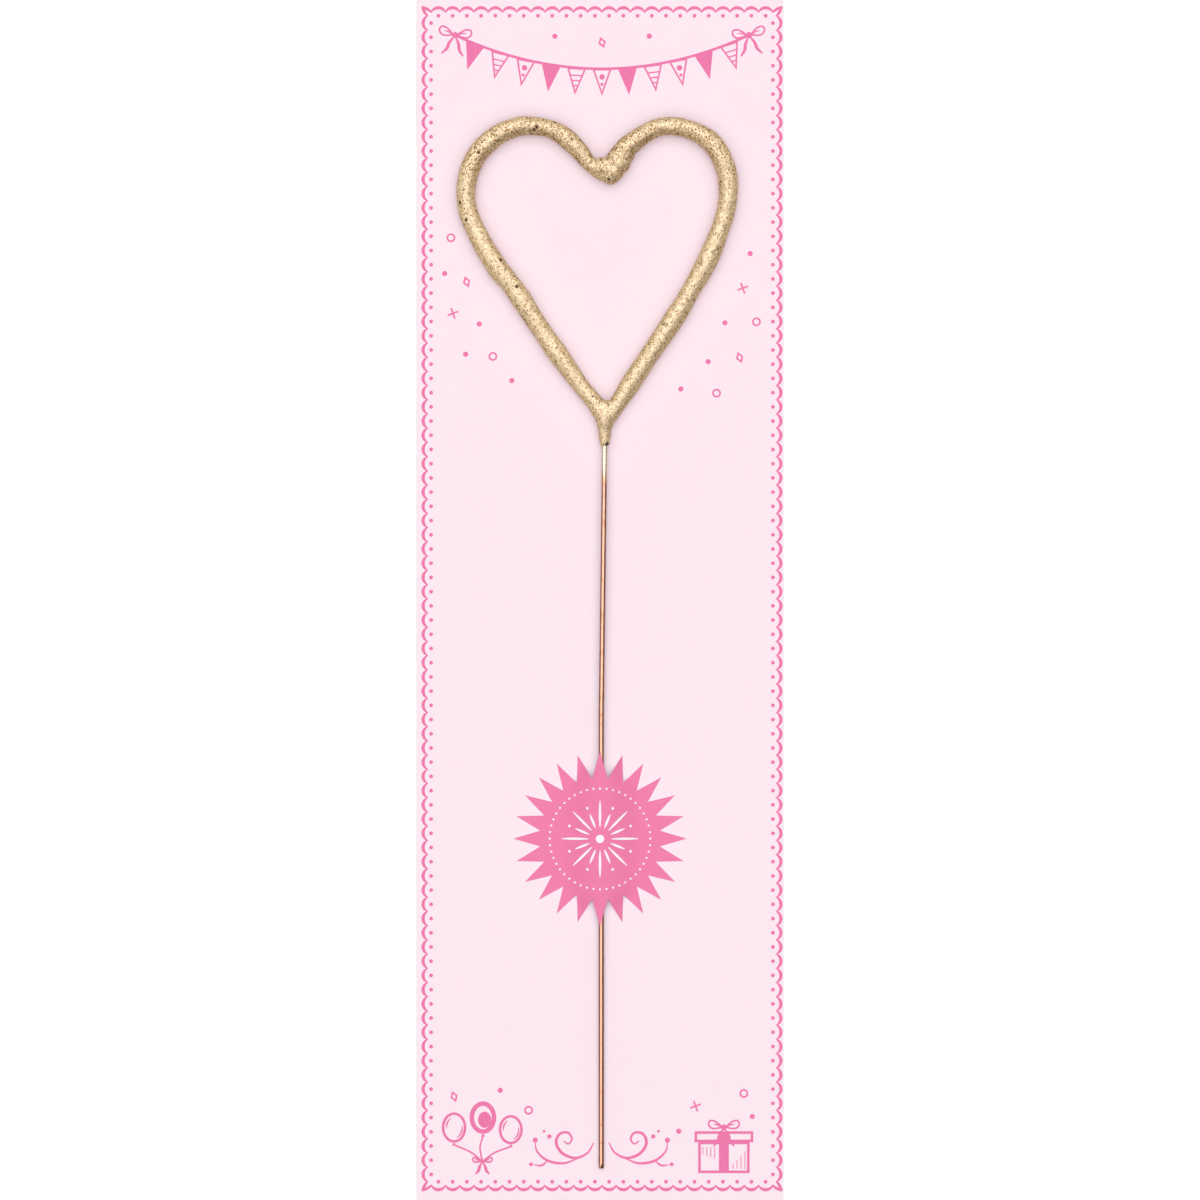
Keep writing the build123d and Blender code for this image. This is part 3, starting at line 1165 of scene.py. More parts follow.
@dataclass
class CardPrint(SubAssembly):
    """The rose print on the card: a scalloped lace border and small party motifs."""

    line: float = 0.5
    fine_line: float = 0.34
    hairline: float = 0.272
    frame_width: float = 68.8
    frame_height: float = 225.8
    frame_shift: Place = (0.38, 0.24)
    scallops_across: int = 24
    scallops_down: int = 82
    scallop_rise: float = 0.88
    scallop_steps: int = 16
    crown_width: float = 0.63
    cusp_width: float = 0.45
    dot_inset: float = 1.84
    dot_radius: float = 0.37
    corner: float = 1.88
    corner_steps: int = 8
    mitre: float = 0.7245
    mitre_curve: float = 1.2
    garland_span: float = 56.0
    garland_ends: float = 107.6
    garland_sag: float = 6.4
    garland_steps: int = 60
    # The string's bare ends together, in flags.
    garland_spare: float = 0.6
    garland_bow_tilt: float = 8.0
    pennants: int = 11
    pennant_width: float = 3.7
    pennant_height: float = 5.2
    # The share of the string's slope that a flag takes.
    pennant_lean: float = 0.8
    # Places down the flag, as shares of its height, and the radius of each spot.
    pennant_stripes: tuple[float, ...] = (0.28, 0.47, 0.66)
    pennant_stripe_gap: float = 0.306
    pennant_spots: tuple[tuple[float, float], ...] = ((0.3, 0.52), (0.57, 0.3))
    bow_petal: tuple[Place, ...] = (
        (0.35, 0.1), (1.5, 1.25), (2.8, 1.5), (3.25, 0.55), (2.5, -0.35), (1.2, -0.35))
    bow_petal_steps: int = 6
    bow_crease: tuple[Place, ...] = ((0.75, 0.2), (1.5, 0.55), (2.1, 0.55))
    bow_tail: tuple[Place, ...] = ((0.3, -0.5), (0.9, -1.6), (1.2, -2.7), (2.0, -3.7))
    bow_tail_line: float = 0.6
    bow_thin_ends: float = 0.5
    bow_knot: Place = (0.55, 0.62)
    bow_knot_steps: int = 20
    bunch_place: Place = (-22.6, -102.8)
    bunch: tuple[Balloon, ...] = (
        Balloon(-5.2, 2.3, 2.35, 2.9, False),
        Balloon(0.3, 4.2, 2.55, 3.1, True),
        Balloon(5.6, 1.9, 2.3, 2.8, False),
    )
    bunch_tie: Place = (0.2, -4.2)
    bunch_bow: float = 0.62
    balloon_steps: int = 40
    balloon_glints: tuple[Glint, ...] = (Glint(0.62, 0.66, 115, 185), Glint(0.66, 0.7, -70, 10))
    balloon_glint_steps: int = 10
    balloon_thin_ends: float = 0.4
    # A filled balloon's rim and core, as shares of its size.
    balloon_rim: float = 0.34
    balloon_core: float = 0.5
    balloon_core_shift: Place = (0.32, -0.42)
    balloon_core_steps: int = 30
    balloon_knot: tuple[Place, ...] = ((0.0, 0.15), (-0.42, -0.55), (0.42, -0.55))
    string_start: float = 0.4
    string_sway: float = 0.5
    box_place: Place = (23.6, -103.3)
    box_half_width: float = 4.9
    box_depth: float = 6.0
    box_lap: float = 0.12
    lid_half_width: float = 5.6
    lid_depth: float = 2.1
    tape_half_width: float = 0.95
    tape_foot_gap: float = 0.6
    tape_head_gap: float = 0.25
    tape_lid_gap: float = 0.5
    hatch_lines: int = 4
    hatch_inset: float = 0.9
    hatch_pitch: float = 0.75
    hatch_gap: float = 1.0
    # The first hatch line's length on the right and on the left, and how much each further line adds.
    hatch_right: Place = (3.2, -0.8)
    hatch_left: Place = (1.3, 0.25)
    hatch_thin_ends: float = 0.5
    box_bow_lift: float = 0.75
    box_bow: float = 0.95
    scroll_place: Place = (0.25, -104.4)
    scroll: tuple[Place, ...] = (
        (1.5, 0.9), (2.6, -0.9), (4.9, -1.9), (7.4, -1.0), (8.6, 1.0),
        (7.9, 2.7), (6.3, 2.9), (5.6, 1.7), (6.3, 0.8), (7.1, 1.3))
    scroll_line: float = 0.575
    scroll_thin_ends: float = 0.45
    scroll_tail: tuple[Place, ...] = ((4.4, -1.95), (7.2, -2.9), (10.2, -2.4), (12.2, -0.7), (12.6, 1.0))
    scroll_sprig: tuple[Place, ...] = ((10.2, -2.4), (11.4, -3.3), (12.8, -3.2))
    scroll_sprig_line: float = 0.408
    scroll_tail_thin_ends: float = 0.4
    scroll_dots: tuple[Spot, ...] = (
        Spot(12.6, 1.5, 0.5), Spot(13.4, -3.1, 0.38), Spot(9.9, 2.2, 0.42), Spot(10.9, 3.2, 0.28))
    confetti_turn: float = 20.0
    confetti_dot: float = 0.5
    confetti_ring: float = 0.85
    confetti_ring_steps: int = 28
    confetti_cross: float = 0.95
    confetti_diamond: Place = (0.75, 1.15)
    confetti_scraps: tuple[Scrap, ...] = (
        Scrap(-28.4, 69.0, Mark.RING), Scrap(-29.6, 62.2, Mark.DOT), Scrap(-25.4, 60.6, Mark.DIAMOND),
        Scrap(-28.0, 54.6, Mark.CROSS), Scrap(-23.0, 52.6, Mark.DOT), Scrap(-20.4, 46.4, Mark.RING),
        Scrap(-25.6, 46.8, Mark.DOT), Scrap(-16.8, 41.8, Mark.DOT), Scrap(28.6, 66.0, Mark.DOT),
        Scrap(27.2, 59.4, Mark.CROSS), Scrap(29.8, 53.0, Mark.RING), Scrap(23.8, 52.8, Mark.DOT),
        Scrap(26.6, 46.2, Mark.DIAMOND), Scrap(20.6, 45.4, Mark.DOT), Scrap(22.2, 39.4, Mark.RING),
        Scrap(15.4, 40.2, Mark.DOT), Scrap(-27.8, -94.6, Mark.DIAMOND), Scrap(-19.0, -93.4, Mark.DOT),
        Scrap(-13.6, -97.2, Mark.RING), Scrap(29.0, -98.4, Mark.DOT), Scrap(18.2, -96.4, Mark.CROSS),
        Scrap(27.4, -94.0, Mark.RING), Scrap(15.0, -101.2, Mark.DOT), Scrap(-8.6, 107.4, Mark.DOT),
        Scrap(0.4, 106.2, Mark.DIAMOND), Scrap(9.4, 107.4, Mark.DOT),
    )

    def build(self) -> None:
        """Print the border and the motifs as one film of ink."""
        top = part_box("backing_card")[1].z / MM
        film = InkFilm(lambda place: np.full(len(place), top))
        self.border(film)
        self.garland(film)
        self.balloons(film)
        self.gift_box(film)
        self.flourish(film)
        self.confetti(film)
        piece = film.piece("card_print")
        self.dress(piece)
        self.carry(piece, Slot.BOARD)

    def dress(self, piece: Piece) -> None:
        """Give the print its ink."""
        piece.data.materials.append(ROSE_INK.material())

    def border(self, film: InkFilm) -> None:
        """Edge the card with scallops and dots, mitred at the corners.

        Args:
            film: the print.
        """
        across = self.frame_width / 2
        up = self.frame_height / 2
        sides = (
            (0, up, 0, across, self.scallops_across),
            (-across, 0, 90, up, self.scallops_down),
            (0, -up, 180, across, self.scallops_across),
            (across, 0, 270, up, self.scallops_down),
        )
        for x, y, turn, reach, count in sides:
            pitch = 2 * (reach - self.corner) / count
            middle = (x + self.frame_shift[0], y + self.frame_shift[1])
            film.move_to(*middle, turn)
            for number in range(count):
                self.scallop(film, (number + 0.5 - count / 2) * pitch, pitch / 2)
            self.corner_arm(film, reach)
            film.move_to(*middle, turn, mirrored=True)
            self.corner_arm(film, reach)

    def scallop(self, film: InkFilm, place: float, half: float) -> None:
        """Draw one crescent and its dot.

        Args:
            film: the print.
            place: where along the side.
            half: half the scallop's width.
        """
        x = half * np.linspace(-1, 1, self.scallop_steps + 1)
        hollow = self.scallop_rise - self.crown_width + self.cusp_width
        outer = np.column_stack([place + x, self.bulge(x, half, self.scallop_rise)])
        inner = np.column_stack([place + x, self.bulge(x, half, hollow) - self.crown_width])
        film.band(outer, inner)
        film.disc((place, -self.dot_inset), self.dot_radius)

    def bulge(self, x: np.ndarray, half: float, rise: float) -> np.ndarray:
        """Heights of a round arch at x, from 0 at its crown to its rise below at half its width."""
        radius = (half ** 2 + rise ** 2) / (2 * rise)
        return np.sqrt(radius ** 2 - x ** 2) - radius

    def corner_arm(self, film: InkFilm, reach: float) -> None:
        """Draw the half scallop that runs from a corner's tip to the first cusp.

        Args:
            film: the print.
            reach: how far the corner's tip is from the middle of the side.
        """
        share = np.linspace(0, 1, self.corner_steps + 1)
        outer_x = self.corner * share
        outer_y = self.bulge(outer_x, self.corner, self.scallop_rise)
        inner_x = self.mitre + (self.corner - self.mitre) * share
        inner_y = -self.mitre - (self.scallop_rise + self.cusp_width - self.mitre) * share ** self.mitre_curve
        film.band(np.column_stack([outer_x - reach, outer_y]), np.column_stack([inner_x - reach, inner_y]))

    def garland(self, film: InkFilm) -> None:
        """Hang a string of flags between two bows.

        Args:
            film: the print.
        """
        half = self.garland_span / 2
        x = np.linspace(-half, half, self.garland_steps + 1)
        sag = self.garland_sag * (1 - (x / half) ** 2)
        middle = self.frame_shift[0]
        film.move_to(middle, self.garland_ends)
        film.stroke(np.column_stack([x, -sag]), self.line)
        fills = list(PennantFill)
        pitch = self.garland_span / (self.pennants + self.garland_spare)
        for number in range(self.pennants):
            place = (number + 0.5 - self.pennants / 2) * pitch
            drop = self.garland_sag * (1 - (place / half) ** 2)
            slope = math.degrees(math.atan(2 * self.garland_sag * place / half ** 2))
            film.move_to(middle + place, self.garland_ends - drop, slope * self.pennant_lean)
            self.pennant(film, fills[number % len(fills)])
        for side in (-1, 1):
            film.move_to(middle + side * half, self.garland_ends, side * self.garland_bow_tilt)
            self.bow(film)

    def pennant(self, film: InkFilm, fill: PennantFill) -> None:
        """Draw one flag below the string.

        Args:
            film: the print.
            fill: how the flag is printed.
        """
        wide = self.pennant_width / 2
        deep = self.pennant_height
        outline = np.array([(-wide, 0.0), (0.0, -deep), (wide, 0.0)])
        if fill is PennantFill.SOLID:
            film.patch(outline)
            return
        film.edge(outline, self.fine_line)
        if fill is PennantFill.STRIPED:
            for share in self.pennant_stripes:
                reach = wide * (1 - share) - self.pennant_stripe_gap
                film.stroke(np.array([(-reach, -deep * share), (reach, -deep * share)]), self.hairline)
        else:
            for share, radius in self.pennant_spots:
                film.disc((0.0, -deep * share), radius)

    def bow(self, film: InkFilm, size: float = 1.0) -> None:
        """Draw a tied bow about its knot.

        Args:
            film: the print.
            size: how large it is, as a share of the garland's bows.
        """
        for side in (-1, 1):
            scale = (side * size, size)
            petal = flowing(np.array(self.bow_petal) * scale, self.bow_petal_steps, closed=True)
            film.edge(petal, self.fine_line)
            film.stroke(flowing(np.array(self.bow_crease) * scale), self.hairline, self.bow_thin_ends)
            film.stroke(flowing(np.array(self.bow_tail) * scale), self.bow_tail_line, self.bow_thin_ends)
        knot = (self.bow_knot[0] * size, self.bow_knot[1] * size)
        film.patch(loop((0.0, 0.0), knot, self.bow_knot_steps))

    def balloons(self, film: InkFilm) -> None:
        """Draw a bunch of balloons on strings, tied with a bow.

        Args:
            film: the print.
        """
        film.move_to(*self.bunch_place)
        tie = self.bunch_tie
        for balloon in self.bunch:
            self.balloon(film, balloon)
            knot = balloon.up - balloon.tall
            sway = self.string_sway if balloon.across < tie[0] else -self.string_sway
            middle = ((balloon.across + tie[0]) / 2 + sway, (knot + tie[1]) / 2)
            film.stroke(flowing([(balloon.across, knot - self.string_start), middle, tie]), self.fine_line)
        film.move_to(self.bunch_place[0] + tie[0], self.bunch_place[1] + tie[1])
        self.bow(film, self.bunch_bow)

    def balloon(self, film: InkFilm, balloon: Balloon) -> None:
        """Draw one balloon and its knot.

        Args:
            film: the print.
            balloon: its place, size and fill.
        """
        across, up, wide, tall, filled = balloon
        skin = loop((across, up), (wide, tall), self.balloon_steps)
        if filled:
            film.edge(skin, wide * self.balloon_rim)
            core = (across + self.balloon_core_shift[0], up + self.balloon_core_shift[1])
            size = (wide * self.balloon_core, tall * self.balloon_core)
            film.patch(loop(core, size, self.balloon_core_steps))
        else:
            film.edge(skin, self.line)
            for glint in self.balloon_glints:
                size = (wide * glint.wide, tall * glint.tall)
                curve = arc((across, up), size, glint.start, glint.end, self.balloon_glint_steps)
                film.stroke(curve, self.fine_line, self.balloon_thin_ends)
        film.patch(np.array(self.balloon_knot) + (across, up - tall))

    def gift_box(self, film: InkFilm) -> None:
        """Draw a lidded box with a tape round it and a bow on top.

        Args:
            film: the print.
        """
        film.move_to(*self.box_place)
        foot = -self.box_depth
        lid = self.lid_depth
        film.edge(panel(self.box_half_width, foot + self.box_lap, self.box_lap), self.line)
        film.edge(panel(self.lid_half_width, 0.0, lid), self.line)
        film.patch(panel(self.tape_half_width, foot + self.tape_foot_gap, -self.tape_head_gap))
        film.patch(panel(self.tape_half_width, self.tape_lid_gap, lid - self.tape_lid_gap))
        for number in range(self.hatch_lines):
            place = self.box_half_width - self.hatch_inset - number * self.hatch_pitch
            low = foot + self.hatch_gap
            high = low + self.hatch_right[0] + self.hatch_right[1] * number
            film.stroke(np.array([(place, low), (place, high)]), self.fine_line, self.hatch_thin_ends)
            high = -self.hatch_gap
            low = high - self.hatch_left[0] - self.hatch_left[1] * number
            film.stroke(np.array([(-place, high), (-place, low)]), self.fine_line, self.hatch_thin_ends)
        film.move_to(self.box_place[0], self.box_place[1] + lid + self.box_bow_lift)
        self.bow(film, self.box_bow)

    def flourish(self, film: InkFilm) -> None:
        """Draw a pair of pen scrolls, one each side of the stem.

        Args:
            film: the print.
        """
        for mirrored in (False, True):
            film.move_to(*self.scroll_place, mirrored=mirrored)
            film.stroke(flowing(self.scroll), self.scroll_line, self.scroll_thin_ends)
            film.stroke(flowing(self.scroll_tail), self.line, self.scroll_tail_thin_ends)
            film.stroke(flowing(self.scroll_sprig), self.scroll_sprig_line, self.scroll_tail_thin_ends)
            for across, up, radius in self.scroll_dots:
                film.disc((across, up), radius)

    def confetti(self, film: InkFilm) -> None:
        """Scatter confetti beside the heart, above the corner motifs and over the garland.

        Args:
            film: the print.
        """
        reach = self.confetti_cross
        wide, tall = self.confetti_diamond
        for across, up, mark in self.confetti_scraps:
            film.move_to(across, up, self.confetti_turn)
            if mark is Mark.DOT:
                film.disc((0.0, 0.0), self.confetti_dot)
            elif mark is Mark.RING:
                ring = loop((0.0, 0.0), (self.confetti_ring, self.confetti_ring), self.confetti_ring_steps)
                film.edge(ring, self.fine_line)
            elif mark is Mark.CROSS:
                film.stroke(np.array([(-reach, 0.0), (reach, 0.0)]), self.fine_line)
                film.stroke(np.array([(0.0, -reach), (0.0, reach)]), self.fine_line)
            else:
                diamond = np.array([(0.0, -tall), (wide, 0.0), (0.0, tall), (-wide, 0.0)])
                film.edge(diamond, self.fine_line)


@dataclass
class SparklerWand(SubAssembly):
    """The wire, the grit dipped on its heart and the gold lacquer over both."""

    stem_place: float = 0.25
    stem_length: float = 142.5
    stem_bend: float = 86.25
    stem_bend_run: float = 2.4
    stem_lean: float = 0.7
    free_end_setback: float = 2.2
    wire_diameter: float = 0.95
    wire_step: float = 0.5
    # The snipped end's radius, as a share of the wire's, and how far up its rounding reaches, in steps.
    snip_radius: float = 0.86
    snip_reach: float = 0.12
    band_diameter: float = 1.04
    band_head: float = 3.6
    band_foot: float = 12.6
    band_fade: float = 2.6
    band_step: float = 0.15
    # How far the band's foot sinks into the wire, how unevenly it ends and how many fades up it is worn.
    band_bite: float = 0.01
    band_slant: float = 0.8
    band_wear: float = 1.3
    # The heart's corners, from its foot up the left leg and round.
    heart: tuple[Bend, ...] = (
        Bend(-26.6, 37.6, 6.07), Bend(-26.6, 56.0, 12.14), Bend(-9.4, 56.0, 4.13), Bend(-0.2, 46.1, 1.2),
        Bend(9.0, 56.0, 3.46), Bend(23.4, 56.0, 10.66), Bend(23.4, 41.3, 3.53), Bend(17.55, 26.1, 9.6),
    )
    # The coat along the heart, from its foot up the left leg and round.
    coat: tuple[Swell, ...] = (
        Swell(0.0, 1.75, -0.2), Swell(4.0, 1.6, -0.3), Swell(8.0, 1.55, 0.05), Swell(16.0, 1.95, 0.1),
        Swell(20.0, 1.75, 0.05), Swell(24.0, 1.8, -0.05), Swell(28.0, 2.0, -0.3), Swell(31.0, 1.85, -0.3),
        Swell(35.0, 2.0, 0.05), Swell(43.0, 1.85, -0.45), Swell(49.0, 1.75, -0.05), Swell(54.0, 1.85, -0.25),
        Swell(62.0, 1.95, -0.4), Swell(70.0, 1.8, -0.1), Swell(74.0, 1.65, -0.2), Swell(79.0, 1.85, -0.15),
        Swell(82.0, 1.75, 0.0), Swell(84.5, 1.5, -0.3), Swell(88.5, 1.25, 0.0), Swell(92.0, 2.1, 0.35),
        Swell(95.5, 2.05, 0.75), Swell(100.0, 1.75, 0.0), Swell(108.0, 1.7, -0.3), Swell(114.0, 1.95, -0.15),
        Swell(118.0, 1.95, -0.25), Swell(124.0, 1.8, 0.1), Swell(131.0, 1.75, 0.45), Swell(138.0, 2.0, 0.45),
        Swell(144.0, 1.75, 0.15), Swell(150.0, 1.95, 0.2), Swell(160.0, 1.8, 0.15), Swell(165.0, 1.9, 0.2),
        Swell(168.0, 1.7, 0.25), Swell(173.6, 1.5, 0.35),
    )
    coat_step: float = 0.4
    # How far down the stem, and the radius there.
    neck: tuple[tuple[float, float], ...] = (
        (0.0, 1.75), (0.9, 1.55), (1.8, 1.3), (3.2, 1.1), (4.2, 1.0), (4.8, 0.85), (5.2, 0.6),
    )
    neck_step: float = 0.2
    # Where lacquer and grit gathered in the cleft and at the foot, from the heart's foot.
    webs: tuple[Spot, ...] = (
        Spot(3.6, 50.3, 1.95), Spot(2.7, 48.8, 2.1), Spot(1.5, 47.2, 2.05), Spot(1.0, 46.3, 1.65),
        Spot(-0.75, 48.0, 1.85), Spot(0.1, 2.2, 1.65), Spot(0.2, 1.0, 1.75),
    )
    web_reach: float = 5.0
    web_smoothing: int = 70
    ball_points: int = 15
    ball_reach: float = 0.98
    smoothing: int = 10
    smoothing_share: float = 0.5
    voxel: float = 0.14
    # How far the grit lies inside the coat.
    grit_depth: float = 0.24
    # How far the coat and the grit inside it stay off the card.
    coat_clearance: float = 0.03
    grit_clearance: float = 0.2
    # Slow swells, lumps and grains.
    reliefs: tuple[Relief, ...] = (
        Relief(0.08, 3.4, (0.0, 0.0, 0.0)),
        Relief(0.025, 1.2, (7.0, 0.0, 3.0)),
        Relief(0.018, 0.4, (0.0, 9.0, 1.0)),
    )
    lobe_start: float = 43.0
    lobe_length: float = 7.0
    # The larger bare dark spots, from the heart's foot. The one at the cleft's tip is painted shade in the
    # crease there.
    spots: tuple[Spot, ...] = (
        Spot(-12.8, 55.5, 0.44), Spot(-13.4, 54.9, 0.36), Spot(-23.9, 50.6, 0.4), Spot(-23.4, 52.7, 0.22),
        Spot(-27.7, 41.2, 0.38), Spot(-26.5, 37.9, 0.36), Spot(-19.75, 30.4, 0.42), Spot(-16.6, 25.3, 0.42),
        Spot(0.5, -4.7, 0.45), Spot(0.65, 45.5, 0.36), Spot(6.2, 55.0, 0.24), Spot(9.6, 52.4, 0.2),
    )
    spot_search: float = 0.1
    loose_spots: int = 40
    loose_spot_radii: tuple[float, float] = (0.16, 0.26)
    seed: int = 11
    pit_depth: float = 0.08
    # How many times as fast as its depth a pit's darkness grows from its rim.
    pit_sharpness: float = 2.0
    tilt: float = field(init=False)
    stem_end: float = field(init=False)
    height: float = field(init=False)
    foot: Points = field(init=False)
    card_top: float = field(init=False)

    def __post_init__(self) -> None:
        """Read where the wire lies from the frame."""
        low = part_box("core_wire")[0] / MM
        axis = next(joint for joint in frame["joints"] if joint["name"] == "wand_slide")["axis"]
        self.tilt = math.atan2(axis[2], axis[1])
        self.stem_end = low.y
        self.height = low.z + self.wire_diameter / 2
        self.foot = np.array([self.stem_place + self.stem_lean, self.stem_end + self.stem_length])
        self.card_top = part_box("backing_card")[1].z / MM

    def laid(self, points: Points) -> Points:
        """Carry points of the wand's own plane to where the wand lies.

        Args:
            points: the points, with the height above the plane third.

        Returns:
            The points on the card.
        """
        along = points[:, 1] - self.stem_end
        rise = points[:, 2]
        y = self.stem_end + along * math.cos(self.tilt) - rise * math.sin(self.tilt)
        z = self.height + along * math.sin(self.tilt) + rise * math.cos(self.tilt)
        return np.column_stack([points[:, 0], y, z])

    def away_from(self, points: Points, across: float, up: float) -> np.ndarray:
        """Flat distance of points from a place that is given from the heart's foot."""
        return np.hypot(points[:, 0] - self.foot[0] - across, points[:, 1] - self.foot[1] - up)

    def heart_route(self, step: float) -> Points:
        """The centreline of the heart, from its foot up the left leg and round."""
        return rounded_route((0.0, 0.0), self.heart, (0.0, 0.0), step) + self.foot

    def stem_route(self, step: float) -> Points:
        """The centreline of the stem, from its cut end up to the heart's foot."""
        bend = Bend(self.stem_place, self.stem_end + self.stem_bend, self.stem_bend_run)
        return rounded_route((self.stem_place, self.stem_end), (bend,), tuple(self.foot), step)

    def build(self) -> None:
        """Make the wire, the lacquer on its neck, the coat and the grit inside it."""
        self.build_wire()
        self.build_band()
        form = self.coat_form()
        self.build_grit(form)
        self.build_coat(form)

    def build_wire(self) -> None:
        """Make the wire in one length, with a snipped end."""
        heart = self.heart_route(self.wire_step)
        kept = lengths_along(heart) <= lengths_along(heart)[-1] - self.free_end_setback
        path = np.vstack([self.stem_route(self.wire_step)[:-1], heart[kept]])
        radii = np.full(len(path), self.wire_diameter / 2)
        radii[0] *= self.snip_radius
        path[1] = path[0] + (path[1] - path[0]) * self.snip_reach
        points, faces = tube(path, radii)
        piece = make_piece("copper_wire", self.laid(points), faces, smooth=True)
        piece.data.materials.append(COPPER_WIRE.material())
        self.carry(piece, Slot.WIRE, "core_wire")

    def build_band(self) -> None:
        """Make the lacquer that ran down the stem and thins out unevenly at its foot."""
        stem = self.stem_route(self.band_step)[::-1]
        lengths = lengths_along(stem)
        covered = (lengths >= self.band_head) & (lengths <= self.band_foot)
        full = self.band_diameter / 2
        bare = self.wire_diameter / 2 - self.band_bite
        left = self.band_foot - lengths[covered]
        radii = bare + (full - bare) * np.sqrt(np.clip(left / self.band_fade, 0, 1))
        points, faces = tube(stem[covered], radii)
        piece = make_piece("lacquer_band", self.laid(points), faces, smooth=True)
        # The film reaches further down one side of the wire than the other.
        slant = self.band_slant * np.cos(np.linspace(0, 2 * math.pi, ROUND_SIDES, endpoint=False))
        worn = np.clip(self.band_wear - (left[:, None] + slant) / self.band_fade, 0, 1)
        mark_corners(piece, "thin", worn)
        piece.data.materials.append(THIN_LACQUER.material())
        self.carry(piece, Slot.LACQUER)

    def heart_shell(self) -> tuple[Points, Faces]:
        """The coat's tube round the heart, with its swells and its sway.

        Returns:
            Its points in the wand's own plane, and its faces.
        """
        route = self.heart_route(self.coat_step)
        lengths = lengths_along(route)
        places, radii, sways = zip(*self.coat)
        path = route + left_of(headings(route)) * np.interp(lengths, places, sways)[:, None]
        return tube(path, np.interp(lengths, places, radii))

    def neck_shell(self) -> tuple[Points, Faces]:
        """The coat's taper down the stem.

        Returns:
            Its points in the wand's own plane, and its faces.
        """
        stem = self.stem_route(self.neck_step)[::-1]
        lengths = lengths_along(stem)
        depths, radii = zip(*self.neck)
        kept = lengths <= depths[-1]
        return tube(stem[kept], np.interp(lengths[kept], depths, radii))

    def web_shell(self, web: Spot) -> tuple[Points, Faces]:
        """The ball that fills a web.

        Args:
            web: its place and radius.

        Returns:
            Its points in the wand's own plane, and its faces.
        """
        ball = np.linspace(-self.ball_reach, self.ball_reach, self.ball_points)
        x = np.full(self.ball_points, self.foot[0] + web.across)
        y = self.foot[1] + web.up + ball * web.radius
        return tube(np.column_stack([x, y]), web.radius * np.sqrt(1 - ball ** 2))

    def coat_form(self) -> Piece:
        """Make the coat's smooth form: the heart's tube, its neck and the webs as one skin.

        Returns:
            The form, before it is roughened.
        """
        shells = [self.heart_shell(), self.neck_shell(), *(self.web_shell(web) for web in self.webs)]
        faces = []
        count = 0
        for shell_points, shell_faces in shells:
            faces += [[corner + count for corner in face] for face in shell_faces]
            count += len(shell_points)
        piece = make_piece("coat_form", self.laid(np.vstack([shell[0] for shell in shells])), faces)
        remesh = piece.modifiers.new("skin", "REMESH")
        remesh.mode = "VOXEL"
        remesh.voxel_size = self.voxel * MM
        apply_modifiers(piece)
        self.soften(piece)
        return piece

    def soften(self, piece: Piece) -> None:
        """Smooth the form all over, and most where it webs.

        Args:
            piece: the form.
        """
        points = corners_of(piece)
        group = piece.vertex_groups.new(name="web")
        for web in self.webs:
            away = self.away_from(points, web.across, web.up) / self.web_reach
            for number in np.flatnonzero(away < 1):
                group.add([int(number)], float((1 - away[number] ** 2) ** 2), "REPLACE")
        for name, rounds, where in (("all_over", self.smoothing, ""), ("webs", self.web_smoothing, "web")):
            smooth = piece.modifiers.new(name, "SMOOTH")
            smooth.factor = self.smoothing_share
            smooth.iterations = rounds
            smooth.vertex_group = where
        apply_modifiers(piece)
        piece.vertex_groups.clear()

    def build_grit(self, form: Piece) -> None:
        """Make the composition, a little inside the lacquer.

        Args:
            form: the coat's smooth form.
        """
        piece = bpy.data.objects.new("sparkler_grit", form.data.copy())
        bpy.context.scene.collection.objects.link(piece)
        points = corners_of(piece) - normals_of(piece) * self.grit_depth
        points[:, 2] = np.maximum(points[:, 2], self.card_top + self.grit_clearance)
        move_corners(piece, points)
        piece.data.materials.append(GRIT.material())
        self.carry(piece, Slot.COMPOSITION, "sparkler_composition")

    def build_coat(self, form: Piece) -> None:
        """Roughen the form into lacquered grit, with swells, grains and a few pits.

        Args:
            form: the coat's smooth form, which becomes the coat.
        """
        form.name = "gold_coat"
        points = corners_of(form)
        raised = np.array([self.relief(place) for place in points])
        soot_and_crease_shade, depth = self.pits(points)
        moved = points + normals_of(form) * (raised - depth)[:, None]
        moved[:, 2] = np.maximum(moved[:, 2], self.card_top + self.coat_clearance)
        move_corners(form, moved)
        # The grains darken gradually from a height up the heart towards the lobes.
        lobe_share = np.clip((points[:, 1] - self.foot[1] - self.lobe_start) / self.lobe_length, 0, 1)
        mark_corners(form, "soot_and_crease_shade", soot_and_crease_shade)
        mark_corners(form, "lobe_share", lobe_share)
        form.data.shade_smooth()
        form.data.materials.append(GOLD_COAT.material())
        self.carry(form, Slot.LACQUER, "gold_lacquer")

    def relief(self, place: Points) -> float:
        """How far the coat stands out at a place."""
        spot = Vector(place)
        return sum(kind.height * noise.noise(spot / kind.width + Vector(kind.start)) for kind in self.reliefs)

    def pits(self, points: Points) -> tuple[np.ndarray, np.ndarray]:
        """Scatter burst bubbles over the coat, and a painted shade at the cleft's tip.

        Args:
            points: the coat's corners.

        Returns:
            How dark and how deep each corner is.
        """
        draw = random.Random(self.seed)
        marks = []
        for _ in range(self.loose_spots):
            marks.append((points[draw.randrange(len(points))], draw.uniform(*self.loose_spot_radii)))
        for across, up, radius in self.spots:
            away = self.away_from(points, across, up)
            near = np.flatnonzero(away < away.min() + self.spot_search)
            marks.append((points[near[np.argmax(points[near, 2])]], radius))
        soot_and_crease_shade = np.zeros(len(points))
        depth = np.zeros(len(points))
        for middle, radius in marks:
            hollow = np.clip(1 - (np.linalg.norm(points - middle, axis=1) / radius) ** 2, 0, 1)
            soot_and_crease_shade = np.maximum(soot_and_crease_shade, np.minimum(1.0, self.pit_sharpness * hollow))
            depth = np.maximum(depth, self.pit_depth * hollow)
        return soot_and_crease_shade, depth


